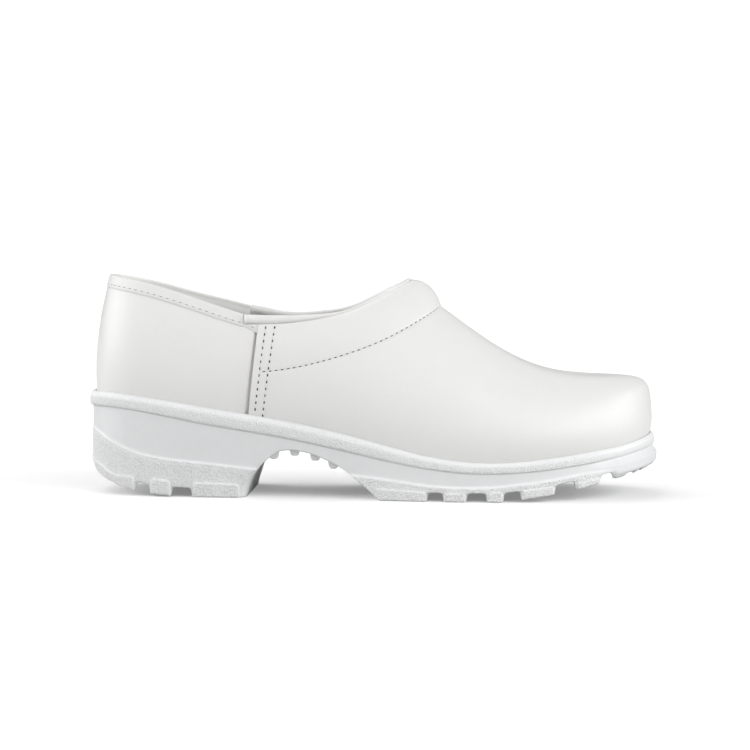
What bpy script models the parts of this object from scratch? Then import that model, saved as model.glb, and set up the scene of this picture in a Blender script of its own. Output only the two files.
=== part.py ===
"""Closed-back slip-on work clog, right shoe, EU size 42.

A moulded sole with a cupped rim carries a leather upper whose vamp laps over the heel counter.
A padded roll finishes the vamp's collar, a folded binding finishes the counter, and an insole lies inside.
+X runs to the toe, +Y to the inner side of the foot and +Z up. The floor is at Z = 0.
Sizes are in millimetres, and MM turns them into metres where a mesh is made.
"""

import math

import bmesh
import bpy
import numpy as np

MM = 0.001

# Driving sizes
SOLE_LENGTH = 292.0
BALL_WIDTH = 107.0
INSTEP_HEIGHT = 106.0
WALL = 2.8
COUNTER_STEP = 1.2
GAP = 0.3

# Pattern sizes that the tables below are drawn for
PATTERN_LENGTH = 292.0
PATTERN_WIDTH = 107.0
PATTERN_INSTEP = 106.0
GRADE_X = SOLE_LENGTH / PATTERN_LENGTH
GRADE_Y = BALL_WIDTH / PATTERN_WIDTH
GRADE_Z = INSTEP_HEIGHT / PATTERN_INSTEP

# Stations from the heel's back to the toe's tip. outer and inner are half breadths of the sole's wall.
# rim_top, rim_low, strip_top, tread_top and ground are heights down the sole's side.
# step scales how far the lower wall's steps stand out, and inset is the ledge between wall and vamp.
# spine_x is the point of the ridge that the station rises to, and fullness the power of its arch,
# which is 2 for an ellipse. belly is its bulge over the rim.
STATION_COLUMNS = (
    "x", "outer", "inner", "rim_top", "rim_low", "strip_top", "tread_top", "ground",
    "step", "inset", "spine_x", "fullness", "belly",
)
STATIONS = (
    (1.3, 0.0, 0.0, 51.6, 44.2, 34.5, 18.4, 14.0, 0.1, 1.4, 38.0, 2.0, 0.8),
    (8.0, 23.0, 23.0, 52.0, 44.6, 30.6, 15.6, 9.4, 0.5, 1.4, 40.0, 2.0, 0.8),
    (30.0, 35.0, 34.5, 50.2, 42.5, 21.2, 9.6, 2.3, 1.0, 1.4, 48.0, 2.0, 0.8),
    (62.0, 38.0, 37.0, 45.2, 36.5, 17.0, 7.2, 0.0, 1.0, 1.5, 68.0, 2.0, 0.6),
    (100.0, 40.0, 36.5, 39.2, 30.4, 13.4, 6.2, 0.0, 1.0, 1.9, 102.0, 2.0, 1.0),
    (138.0, 45.5, 39.0, 31.2, 22.8, 12.0, 6.2, 0.0, 1.0, 2.2, 137.0, 2.0, 1.8),
    (174.0, 51.5, 46.5, 22.4, 16.0, 7.8, 4.6, 0.0, 1.0, 2.2, 170.0, 2.1, 2.3),
    (206.0, 53.5, 52.0, 19.4, 14.0, 7.4, 4.8, 0.0, 1.0, 2.1, 200.0, 2.25, 2.3),
    (236.0, 50.0, 52.5, 21.9, 16.2, 11.0, 7.6, 3.8, 1.0, 2.0, 225.0, 2.6, 1.9),
    (262.0, 39.5, 46.5, 25.6, 20.0, 15.2, 11.8, 9.0, 1.0, 1.8, 241.0, 3.3, 1.5),
    (281.0, 22.5, 33.5, 29.2, 23.6, 18.2, 14.8, 12.4, 0.9, 1.7, 248.5, 5.2, 1.2),
    (291.2, -7.0, 7.0, 31.8, 25.8, 20.3, 16.8, 14.6, 0.8, 1.6, 250.0, 7.5, 1.0),
)

# Ridge of the last from the leg's cone over the instep to the toe: height, and offset to the inner side
RIDGE_COLUMNS = ("x", "height", "offset")
RIDGE = (
    (30.0, 150.0, 0.0),
    (85.0, 146.0, 0.0),
    (130.0, 128.5, 0.5),
    (166.0, 105.2, 1.5),
    (181.0, 95.4, 2.0),
    (199.0, 82.4, 2.5),
    (218.5, 70.2, 3.5),
    (238.0, 62.7, 4.5),
    (250.0, 60.8, 5.0),
)

# Lines of the upper as they stand in side view
COUNTER_EDGE = ((4.0, 110.6), (30.0, 106.2), (53.6, 99.5), (75.0, 92.6), (90.0, 88.0))
COLLAR_COLUMNS = ("x", "outer", "inner")
COLLAR_SEAM = (
    (70.0, 87.0, 89.8),
    (84.0, 86.9, 89.2),
    (101.0, 86.6, 87.2),
    (121.0, 89.6, 88.6),
    (143.0, 96.2, 94.6),
    (156.0, 101.4, 100.6),
    (163.5, 105.6, 105.6),
)
PAD_SEAM = ((70.0, 62.5), (100.0, 64.7), (129.0, 71.7), (154.0, 81.4), (167.0, 88.4), (181.0, 96.6))
BINDING_DEPTH = 5.6

# Padding of the vamp's collar: how far it swells at the side and over the ridge, and over what height
PUFF_SIDE, PUFF_SIDE_X = 0.8, 88.0
PUFF_TOP, PUFF_TOP_X = 4.2, 172.0
PUFF_RISE = 4.0

# Where the vamp laps the counter, in stations, and how it leans forward with height
LAP_STATION, LAP_LEAN, LAP_REACH = 3.555, 0.26, 1.2
ROLL_STATION = 3.40
STEP_WIDTH = 0.012
THROAT_X = 163.5
LIP_STEP_STATION = LAP_STATION - STEP_WIDTH

# Rim, binding, roll and insole
LIP_DEPTH = 5.0
LIP_DROP = 0.2
ROLL_COLUMNS = ("x", "half_height")
ROLL = ((80.0, 2.5), (100.0, 2.1), (121.0, 1.3), (133.0, 0.9), (150.0, 0.9), (158.0, 1.0), (163.5, 1.3))
ROLL_OVERHANG, ROLL_SIDES = 0.3, 10
BINDING_THICKNESS, BINDING_END = 0.9, 0.03
INSOLE_THICKNESS, INSOLE_CUP = 4.0, 1.0

# Sole side, from the rim's crown down to the tread's edge: height line, distance below it, how far
# it stands proud at every station, and how far it stands out besides where the station's step is whole
SECTION_COLUMNS = ("line", "below", "proud", "step")
SECTION = (
    ("rim_top", 0.0, -0.5, 0.0),
    ("rim_top", 1.4, 0.6, 0.0),
    ("rim_mid", 0.0, 0.9, 0.0),
    ("rim_low", -0.9, 0.7, 0.0),
    ("rim_low", 0.0, -0.1, 0.0),
    ("strip_top", -0.5, 0.0, 0.0),
    ("strip_top", 0.5, 0.0, 0.6),
    ("tread_top", -0.4, 0.0, 0.7),
    ("tread_top", 0.4, 0.0, 1.2),
    ("ground", -0.8, -0.2, 1.2),
    ("ground", 0.0, -1.0, 1.2),
)

# Waist of the sole: the cut from the heel's breast over the arch to the forefoot, and the ribs under it
ARCH_COLUMNS = ("x", "z")
ARCH = (
    (83.4, -6.0),
    (83.8, 0.0),
    (86.9, 10.0),
    (93.9, 21.0),
    (103.5, 24.1),
    (116.0, 21.7),
    (134.0, 12.7),
    (149.6, 0.0),
    (155.5, -6.0),
)
ARCH_STEPS = 3
RIB_XS = (95.6, 105.8, 116.0, 125.0)
RIB_SWEEP = math.radians(-1.5)
RIB_WIDTH, RIB_HEIGHT, RIB_SINK = 5.0, 2.6, 1.5
RIB_DRAFT, RIB_ROUND, RIB_END = 0.3, 1.0, 1.0

# Tread grooves: place at the outer and inner edge of the sole, and width
GROOVE_COLUMNS = ("outer_x", "inner_x", "width")
GROOVES = (
    (32.0, 22.9, 6.8),
    (51.3, 43.7, 10.0),
    (177.4, 179.8, 8.0),
    (198.0, 202.1, 10.0),
    (215.8, 221.2, 8.5),
    (242.0, 249.6, 10.0),
    (262.6, 271.7, 6.5),
)
GROOVE_DEPTH, GROOVE_DRAFT = 4.4, 0.6
CUT_BELOW = 22.0
CHANNEL_COLUMNS = ("start_x", "end_x")
CHANNELS = ((14.0, 78.0), (158.0, 262.0))
CHANNEL_WIDTH, CHANNEL_DEPTH = 7.0, 3.4
ACROSS = 150.0

# Mesh fineness
COLUMNS_PER_STATION = 4
UPPER_ROWS = 11
COLUMN_SAMPLES = 160
CLEAR_OF_PAIRS = 0.1
THROAT_STEPS = (0.0, 0.05, 0.14, 0.3, 0.5)
SHARP_ANGLE = math.radians(35)

COLOURS = {
    "sole": (0.86, 0.87, 0.87),
    "upper": (0.85, 0.85, 0.84),
    "collar_roll": (0.83, 0.83, 0.81),
    "heel_binding": (0.82, 0.82, 0.80),
    "insole": (0.70, 0.69, 0.66),
}
ROUGHNESS = {"sole": 0.6, "upper": 0.42, "collar_roll": 0.5, "heel_binding": 0.5, "insole": 0.8}


def hermite(f, start, end, leaving, arriving):
    """Cubic from start to end while f runs from 0 to 1, with these slopes at its ends."""
    rise = end - start
    bend = leaving + arriving - 2 * rise
    return start + f * (leaving + f * (rise - leaving - bend + f * bend))


def closed_spline(values):
    """A smooth closed curve through one value at each whole station."""
    values = np.asarray(values, float)
    count = len(values)
    unit = np.eye(count)
    system = 4 * unit + np.roll(unit, 1, 0) + np.roll(unit, -1, 0)
    slopes = np.linalg.solve(system, 3 * (np.roll(values, -1) - np.roll(values, 1)))

    def at(t):
        t = np.asarray(t, float) % count
        i = np.floor(t).astype(int) % count
        j = (i + 1) % count
        return hermite(t - np.floor(t), values[i], values[j], slopes[i], slopes[j])

    return at


def open_spline(rows, column=1):
    """A natural cubic through the rows, and straight on past its ends."""
    x = np.array([row[0] for row in rows], float)
    y = np.array([row[column] for row in rows], float)
    h = np.diff(x)
    slope = np.diff(y) / h
    system = np.diag(np.r_[2 / h[0], 2 / h[:-1] + 2 / h[1:], 2 / h[-1]])
    system += np.diag(1 / h, 1) + np.diag(1 / h, -1)
    pull = 3 * np.r_[slope[0] / h[0], slope[:-1] / h[:-1] + slope[1:] / h[1:], slope[-1] / h[-1]]
    m = np.linalg.solve(system, pull)

    def at(where):
        where = np.asarray(where, float)
        i = np.clip(np.searchsorted(x, where) - 1, 0, len(h) - 1)
        f = np.clip((where - x[i]) / h[i], 0, 1)
        inside = hermite(f, y[i], y[i + 1], m[i] * h[i], m[i + 1] * h[i])
        return inside + m[0] * np.minimum(where - x[0], 0) + m[-1] * np.maximum(where - x[-1], 0)

    return at


def station_column(name):
    return [row[STATION_COLUMNS.index(name)] for row in STATIONS]


def there_and_back(values):
    """Heel to toe along the outer side, and back along the inner side."""
    return list(values) + list(values[-2:0:-1])


HALF = len(STATIONS) - 1
ROUND = 2 * HALF
station = {name: closed_spline(there_and_back(station_column(name))) for name in STATION_COLUMNS[3:]}
wall_x = closed_spline(GRADE_X * np.array(there_and_back(station_column("x"))))
wall_y = closed_spline(
    GRADE_Y * np.array([-v for v in station_column("outer")] + station_column("inner")[-2:0:-1])
)
ridge_height = open_spline(RIDGE, RIDGE_COLUMNS.index("height"))
ridge_offset = open_spline(RIDGE, RIDGE_COLUMNS.index("offset"))
counter_edge = open_spline(COUNTER_EDGE)
outer_seam = open_spline(COLLAR_SEAM, COLLAR_COLUMNS.index("outer"))
inner_seam = open_spline(COLLAR_SEAM, COLLAR_COLUMNS.index("inner"))
roll_half_height = open_spline(ROLL, ROLL_COLUMNS.index("half_height"))
pad_seam = open_spline(PAD_SEAM)
seat_line = open_spline(STATIONS, STATION_COLUMNS.index("rim_top"))


def smooth(value):
    """0 below 0, 1 above 1 and an even ease between."""
    value = np.clip(value, 0, 1)
    return value * value * (3 - 2 * value)


def plan_normal(t, step=0.01):
    """Outward direction of the sole's outline in plan."""
    dx = wall_x(t + step) - wall_x(t - step)
    dy = wall_y(t + step) - wall_y(t - step)
    length = np.hypot(dx, dy)
    return dy / length, -dx / length


def plan_point(t, proud):
    """A point of the sole's outline, moved out by proud."""
    nx, ny = plan_normal(t)
    return wall_x(t) + proud * nx, wall_y(t) + proud * ny


def seat(x):
    """Height of the ledge inside the rim that the upper and the insole stand on."""
    return seat_line(x) - LIP_DEPTH


def ground(t):
    return np.maximum(station["ground"](t), 0)


def belly_share(upward):
    """How the belly swells with height: none at the rim and the ridge, whole a quarter of the way up."""
    peak = 0.25
    return upward * np.maximum(1 - upward, 0) ** 3 / (peak * (1 - peak) ** 3)


def last_point(t, arc):
    """The vamp's surface before padding. t runs round the shoe and arc from the rim, 0, to the ridge, 1."""
    foot_x, foot_y = plan_point(t, -station["inset"](t))
    spine_x = GRADE_X * station["spine_x"](t)
    power = 2 / station["fullness"](t)
    inward = 1 - np.cos(arc * math.pi / 2) ** power
    upward = np.sin(arc * math.pi / 2) ** power
    bulge = station["belly"](t) * belly_share(upward)
    nx, ny = plan_normal(t)
    rim = station["rim_top"](t)
    return np.stack(
        [
            foot_x + (spine_x - foot_x) * inward + nx * bulge,
            foot_y + (ridge_offset(spine_x) - foot_y) * inward + ny * bulge,
            rim + (GRADE_Z * ridge_height(spine_x) - rim) * upward,
        ],
        axis=-1,
    )


def last_normal(t, arc, step=0.004, end=0.001):
    """Outward direction of the vamp's surface, read a little off the rim and the ridge."""
    low, middle, high = (np.clip(arc + d, end, 1 - end) for d in (-step, 0, step))
    along = last_point(t + step, middle) - last_point(t - step, middle)
    up = last_point(t, high) - last_point(t, low)
    normal = np.cross(along, up)
    return normal / np.linalg.norm(normal, axis=-1, keepdims=True)


def lean(t, arc):
    """The station that a column has reached at this height: near the lap the columns lean with it."""
    side = np.where(t <= HALF, 1, -1)
    along = np.where(t <= HALF, t, ROUND - t)
    near = np.clip(1 - np.abs(along - LAP_STATION) / LAP_REACH, 0, 1)
    upward = np.sin(arc * math.pi / 2) ** (2 / station["fullness"](t))
    return t + side * LAP_LEAN * upward * near


def padding(points):
    """How far the padded collar swells out of the vamp at these points."""
    x, z = points[..., 0], points[..., 2]
    share = np.clip((x - PUFF_SIDE_X) / (PUFF_TOP_X - PUFF_SIDE_X), 0, 1)
    swell = PUFF_SIDE + (PUFF_TOP - PUFF_SIDE) * share**1.5
    return swell * smooth((z - pad_seam(x)) / PUFF_RISE)


def collar_edge(t, x):
    """Height of the upper's top edge in side view: the counter's, or from the roll on the vamp's."""
    if min(t, ROUND - t) < ROLL_STATION:
        return counter_edge(x)
    seam = outer_seam(x) if t < HALF else inner_seam(x)
    return np.where(x < THROAT_X, seam, np.inf)


def column_arcs(t):
    """Arcs for the rows of one column, evenly spaced along it from the rim to the collar or the ridge."""
    arcs = np.linspace(0, 1, COLUMN_SAMPLES)
    points = last_point(lean(t, arcs), arcs)
    over = points[:, 2] - collar_edge(t, points[:, 0])
    above = np.nonzero(over > 0)[0]
    if len(above) and above[0] > 0:
        k = above[0]
        cut = arcs[k - 1] + (arcs[k] - arcs[k - 1]) * over[k - 1] / (over[k - 1] - over[k])
    else:
        cut = 1.0
    arcs = arcs * cut
    points = last_point(lean(t, arcs), arcs)
    length = np.r_[0, np.cumsum(np.linalg.norm(np.diff(points, axis=0), axis=1))]
    return np.interp(np.linspace(0, length[-1], UPPER_ROWS), length, arcs)


def column_walls(t):
    """Outer and inner points of the upper's wall at one column, from the seat up to the top edge."""
    arcs = column_arcs(t)
    stations = lean(t, arcs)
    base = last_point(stations, arcs)
    normal = last_normal(stations, arcs)
    along = min(t, ROUND - t)
    if along < LAP_STATION:
        proud = np.full(UPPER_ROWS, -COUNTER_STEP)
    else:
        proud = padding(base)
    normal[0] = (*plan_normal(t), 0)
    outer = base + proud[:, None] * normal
    inner = base - WALL * normal
    skirts = []
    for wall in (outer, inner):
        skirt = wall[0].copy()
        skirt[2] = seat(wall[0][0]) + GAP
        skirts.append(np.vstack([skirt, wall]))
    return skirts


def step_pair(s):
    """Two columns close together, between which the wall steps."""
    return [s - STEP_WIDTH / 2, s + STEP_WIDTH / 2]


def even_stations(fixed=()):
    """Columns of one side, heel to toe: the fixed ones, and even ones that keep clear of them."""
    even = np.linspace(0, HALF, HALF * COLUMNS_PER_STATION + 1)
    kept = [s for s in even if all(abs(s - f) > CLEAR_OF_PAIRS for f in fixed)]
    return sorted(kept + list(fixed))


def throat_station():
    """The station whose ridge point is the throat of the collar."""
    stations = np.linspace(0, HALF, 2000)
    return float(np.interp(THROAT_X, station["spine_x"](stations), stations))


def upper_stations():
    """Columns of one side of the upper, in pairs at the lap and the roll's end, and closer at the throat."""
    close = [throat_station() - d for d in THROAT_STEPS]
    return even_stations(step_pair(ROLL_STATION) + step_pair(LAP_STATION) + close)


def bounds_centre():
    """Middle of the sole's outline in plan, which the origin stands under."""
    t = np.linspace(0, ROUND, 2000)
    outlines = [plan_point(t, proud + step * station["step"](t)) for _, _, proud, step in SECTION]
    middles = []
    for axis in (0, 1):
        values = np.concatenate([outline[axis] for outline in outlines])
        middles.append((values.min() + values.max()) / 2)
    return middles


CENTRE_X, CENTRE_Y = bounds_centre()


def metres(point):
    """A point of the tables' frame as Blender's coordinates, with the origin under the middle of the shoe."""
    return ((point[0] - CENTRE_X) * MM, (point[1] - CENTRE_Y) * MM, point[2] * MM)


def material(name):
    made = bpy.data.materials.new(name)
    made.use_nodes = True
    shader = made.node_tree.nodes["Principled BSDF"]
    shader.inputs["Base Color"].default_value = (*COLOURS[name], 1)
    shader.inputs["Roughness"].default_value = ROUGHNESS[name]
    return made


def loft(mesh, rings, skip=None):
    """Faces between each closed ring of points and the next, but for those that skip(ring, side) names."""
    made = [[mesh.verts.new(metres(p)) for p in ring] for ring in rings]
    for i in range(len(made) - 1):
        count = len(made[i])
        for k in range(count):
            if skip and skip(i, k):
                continue
            n = (k + 1) % count
            mesh.faces.new((made[i][k], made[i + 1][k], made[i + 1][n], made[i][n]))
    return made


def finish(name, mesh, collection):
    """The mesh as an object, with coincident points joined and its faces turned out."""
    bmesh.ops.remove_doubles(mesh, verts=mesh.verts, dist=1e-6)
    bmesh.ops.dissolve_degenerate(mesh, edges=mesh.edges, dist=1e-7)
    bmesh.ops.recalc_face_normals(mesh, faces=mesh.faces)
    data = bpy.data.meshes.new(name)
    mesh.to_mesh(data)
    mesh.free()
    data.shade_smooth()
    data.set_sharp_from_angle(angle=SHARP_ANGLE)
    made = bpy.data.objects.new(name, data)
    collection.objects.link(made)
    return made


def sole_section(t):
    """Points down the sole's side at one station: the ledge, the lip round the upper, then the outside."""
    lines = {name: float(station[name](t)) for name in ("rim_top", "rim_low", "strip_top", "tread_top")}
    lines["rim_mid"] = (lines["rim_top"] + lines["rim_low"]) / 2
    lines["ground"] = float(ground(t))
    ledge = station["inset"](t) - GAP
    if min(t, ROUND - t) < LIP_STEP_STATION:
        ledge += COUNTER_STEP
    lip_x, lip_y = plan_point(t, -ledge)
    points = [(lip_x, lip_y, float(seat(lip_x))), (lip_x, lip_y, lines["rim_top"] - LIP_DROP)]
    for line, below, proud, step in SECTION:
        x, y = plan_point(t, proud + step * station["step"](t))
        points.append((x, y, lines[line] - below))
    return points


def build_sole(collection, cutters):
    mesh = bmesh.new()
    rings = []
    for s in even_stations(step_pair(LIP_STEP_STATION)):
        rings.append(sole_section(s) + sole_section(ROUND - s)[::-1])
    loft(mesh, rings)
    sole = finish("sole", mesh, collection)
    cut(sole, arch_cutter(cutters))
    for cutter in groove_cutters(cutters):
        cut(sole, cutter)
    for rib in arch_ribs(cutters):
        cut(sole, rib, "UNION")
    sole.data.materials.append(material("sole"))
    return sole


def cut(target, tool, operation="DIFFERENCE"):
    modifier = target.modifiers.new(tool.name, "BOOLEAN")
    modifier.operation = operation
    modifier.object = tool


def helper(name, mesh, collection):
    made = finish(name, mesh, collection)
    made.hide_render = True
    made.display_type = "WIRE"
    return made


def arch_line():
    """The arch in side view, as an even row of points along a smooth curve through its table."""
    places = range(len(ARCH))
    fine = np.linspace(0, len(ARCH) - 1, (len(ARCH) - 1) * ARCH_STEPS + 1)
    x = open_spline([(i, ARCH[i][0]) for i in places])
    z = open_spline([(i, ARCH[i][1]) for i in places])
    return np.column_stack([x(fine), z(fine)])


def across(points, half_width, sweep):
    """The same side-view outline at the outer and the inner side, the inner one swept forward."""
    shift = half_width * math.tan(sweep)
    return [[(x + side * shift, side * half_width, z) for x, z in points] for side in (-1, 1)]


def prism(name, points, collection, half_width=ACROSS / 2, sweep=0.0):
    """A solid with a side-view outline, running across the shoe."""
    mesh = bmesh.new()
    made = loft(mesh, across(points, half_width, sweep))
    for ring in made:
        mesh.faces.new(ring)
    return helper(name, mesh, collection)


def arch_cutter(collection):
    return prism("arch_cutter", [tuple(p) for p in arch_line()], collection)


def station_at(x):
    """The outer side's station whose wall stands at this length."""
    t = np.linspace(0, HALF, 400)
    return float(np.interp(x, wall_x(t), t))


def ground_at(x):
    """Height of the tread's ground line at this length."""
    return float(ground(station_at(x)))


def groove_cutters(collection):
    made = []
    for number, (outer_x, inner_x, width) in enumerate(GROOVES, 1):
        middle = (outer_x + inner_x) / 2
        left, right = middle - width / 2, middle + width / 2
        roof = [ground_at(x) + GROOVE_DEPTH for x in (left, right)]
        outline = [
            (left - GROOVE_DRAFT, -CUT_BELOW),
            (left - GROOVE_DRAFT, roof[0] - GROOVE_DEPTH),
            (left + GROOVE_DRAFT, roof[0]),
            (right - GROOVE_DRAFT, roof[1]),
            (right + GROOVE_DRAFT, roof[1] - GROOVE_DEPTH),
            (right + GROOVE_DRAFT, -CUT_BELOW),
        ]
        sweep = math.atan2(inner_x - outer_x, BALL_WIDTH)
        made.append(prism(f"groove_cutter_{number}", outline, collection, sweep=sweep))
    for number, (start, end) in enumerate(CHANNELS, 1):
        roof = [ground_at(x) + CHANNEL_DEPTH for x in (start, end)]
        outline = [(start, -CUT_BELOW), (start, roof[0]), (end, roof[1]), (end, -CUT_BELOW)]
        made.append(prism(f"channel_cutter_{number}", outline, collection, CHANNEL_WIDTH / 2))
    return made


def arch_ribs(collection):
    """Bars across the underside of the waist, each with a level foot."""
    line = arch_line()
    made = []
    for number, x in enumerate(RIB_XS, 1):
        left, right = x - RIB_WIDTH / 2, x + RIB_WIDTH / 2
        roof = np.interp((left, x, right), line[:, 0], line[:, 1])
        foot = roof[1] - RIB_HEIGHT
        outline = [
            (left, roof[0] + RIB_SINK),
            (left + RIB_DRAFT, foot + RIB_ROUND),
            (left + RIB_DRAFT + RIB_ROUND, foot),
            (right - RIB_DRAFT - RIB_ROUND, foot),
            (right - RIB_DRAFT, foot + RIB_ROUND),
            (right, roof[2] + RIB_SINK),
        ]
        t = station_at(x)
        half_width = float(min(-wall_y(t), wall_y(ROUND - t))) - RIB_END
        made.append(prism(f"arch_rib_{number}", outline, collection, half_width, RIB_SWEEP))
    return made


def column_pair(s):
    """The walls of the outer and the inner side at one station, joined at the ridge past the throat."""
    sides = [column_walls(s), column_walls(ROUND - s)]
    if s >= throat_station():
        for wall in (0, 1):
            middle = (sides[0][wall][-1] + sides[1][wall][-1]) / 2
            sides[0][wall][-1] = sides[1][wall][-1] = middle
    return sides


def build_upper(collection):
    mesh = bmesh.new()
    stations = upper_stations()
    throat = throat_station()
    pairs = [column_pair(s) for s in stations]
    for side in (0, 1):
        rings = [[*pair[side][0], *pair[side][1][::-1]] for pair in pairs]
        loft(mesh, rings, skip=lambda i, k: k == UPPER_ROWS and stations[i] >= throat)
    upper = finish("upper", mesh, collection)
    upper.data.materials.append(material("upper"))
    return upper


def unit(vector):
    return vector / np.linalg.norm(vector)


def collar_path():
    """Edge points of the vamp's collar from the outer end of the roll over the throat to the inner end."""
    pairs = [column_pair(s) for s in upper_stations() if ROLL_STATION < s <= throat_station()]
    order = [pair[0] for pair in pairs] + [pair[1] for pair in pairs[-2::-1]]
    return [(outer[-1], inner[-1]) for outer, inner in order]


def build_collar_roll(collection):
    """A padded roll that stands on the vamp's top edge, as wide as the padded wall under it."""
    edges = collar_path()
    middle = np.array([(o + i) / 2 for o, i in edges])
    tangents = np.gradient(middle, axis=0)
    rings = []
    for (outer, inner), centre, tangent in zip(edges, middle, tangents):
        across_wall = unit(outer - inner)
        up = unit(np.cross(across_wall, tangent))
        if up[2] < 0:
            up = -up
        half_width = np.linalg.norm(outer - inner) / 2 + ROLL_OVERHANG
        half_height = float(roll_half_height(centre[0]))
        centre = centre + up * (GAP + half_height)
        turns = np.linspace(0, 2 * math.pi, ROLL_SIDES, endpoint=False)
        rings.append([
            centre + math.cos(a) * half_width * across_wall + math.sin(a) * half_height * up for a in turns
        ])
    mesh = bmesh.new()
    made = loft(mesh, rings)
    for ring in (made[0], made[-1]):
        mesh.faces.new(ring)
    roll = finish("collar_roll", mesh, collection)
    roll.data.materials.append(material("collar_roll"))
    return roll


def binding_ring(t):
    """The folded binding's section over the counter's edge, along its inside and back along its outside."""
    outer, inner = column_walls(t)
    top_up = unit(outer[-1] - outer[-2])
    normal = unit(outer[-1] - inner[-1])
    leg = [wall[-1] - top_up * BINDING_DEPTH for wall in (outer, inner)]
    near, far = GAP, GAP + BINDING_THICKNESS
    return [
        leg[0] + near * normal,
        outer[-1] + near * normal + near * top_up,
        inner[-1] - near * normal + near * top_up,
        leg[1] - near * normal,
        leg[1] - far * normal,
        inner[-1] - far * normal + 0.6 * far * top_up,
        inner[-1] - 0.4 * far * normal + far * top_up,
        outer[-1] + 0.4 * far * normal + far * top_up,
        outer[-1] + far * normal + 0.6 * far * top_up,
        leg[0] + far * normal,
    ]


def build_heel_binding(collection):
    end = ROLL_STATION - BINDING_END
    side = [s for s in even_stations([end]) if s <= end]
    stations = [ROUND - s for s in side[:0:-1]] + side
    mesh = bmesh.new()
    made = loft(mesh, [binding_ring(t) for t in stations])
    for ring in (made[0], made[-1]):
        mesh.faces.new(ring)
    binding = finish("heel_binding", mesh, collection)
    binding.data.materials.append(material("heel_binding"))
    return binding


def insole_edge(t):
    x, y = plan_point(t, -station["inset"](t) - WALL - GAP)
    low = float(seat(x)) + GAP
    return (x, y, low), (x, y, low + INSOLE_THICKNESS)


def build_insole(collection):
    mesh = bmesh.new()
    rings = []
    for t in even_stations():
        low, top = insole_edge(t)
        low_in, top_in = insole_edge(ROUND - t)
        cup = INSOLE_CUP * min(1.0, (low_in[1] - low[1]) / BALL_WIDTH * 2)
        middle = [(a + b) / 2 for a, b in zip(top, top_in)]
        rings.append([low, top, (middle[0], middle[1], middle[2] - cup), top_in, low_in])
    loft(mesh, rings)
    insole = finish("insole", mesh, collection)
    insole.data.materials.append(material("insole"))
    return insole


def main():
    for old in list(bpy.data.objects):
        bpy.data.objects.remove(old)
    parts = bpy.data.collections.new("work_clog")
    cutters = bpy.data.collections.new("cutters")
    for collection in (parts, cutters):
        bpy.context.scene.collection.children.link(collection)
    build_sole(parts, cutters)
    build_upper(parts)
    build_collar_roll(parts)
    build_heel_binding(parts)
    build_insole(parts)


main()
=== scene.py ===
"""Looks of a closed-back slip-on work clog, a right shoe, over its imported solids.

Every piece is drawn from the shoe's own tables in millimetres and stands where its solid stands.
+X runs to the toe, +Y to the inner side of the foot and +Z up. The floor is at Z = 0.
"""

import math
from types import SimpleNamespace

import bmesh
import bpy
import numpy as np
from mathutils import Matrix, Vector


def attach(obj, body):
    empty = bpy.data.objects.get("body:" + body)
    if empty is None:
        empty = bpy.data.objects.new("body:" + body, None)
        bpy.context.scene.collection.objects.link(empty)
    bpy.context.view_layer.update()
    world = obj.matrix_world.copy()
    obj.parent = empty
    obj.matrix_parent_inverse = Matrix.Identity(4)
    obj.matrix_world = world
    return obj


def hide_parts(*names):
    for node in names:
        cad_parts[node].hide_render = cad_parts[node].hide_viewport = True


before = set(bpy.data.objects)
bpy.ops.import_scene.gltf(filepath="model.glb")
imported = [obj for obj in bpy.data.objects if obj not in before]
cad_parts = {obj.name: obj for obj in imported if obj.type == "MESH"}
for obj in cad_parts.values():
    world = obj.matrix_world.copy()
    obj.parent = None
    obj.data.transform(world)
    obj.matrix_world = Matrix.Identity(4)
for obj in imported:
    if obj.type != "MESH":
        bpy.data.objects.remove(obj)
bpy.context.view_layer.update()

MM = 0.001
# The frame's origin in the tables' millimetres: on the floor, under the middle of the solids' box
CENTRE = np.array([146.27978, -0.23894, 0.0])

# Camera of the photograph, in millimetres: it stands on the outer side, a little above the shoe
CAMERA_AT = (147.0, -1400.0, 143.0)
CAMERA_AIM = (147.0, 0.0, 60.0)
CAMERA_ROLL = math.radians(0.43)
FRAME_PIXELS, AIM_MM_PER_PIXEL, SENSOR = 750, 0.5159, 36.0

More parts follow.
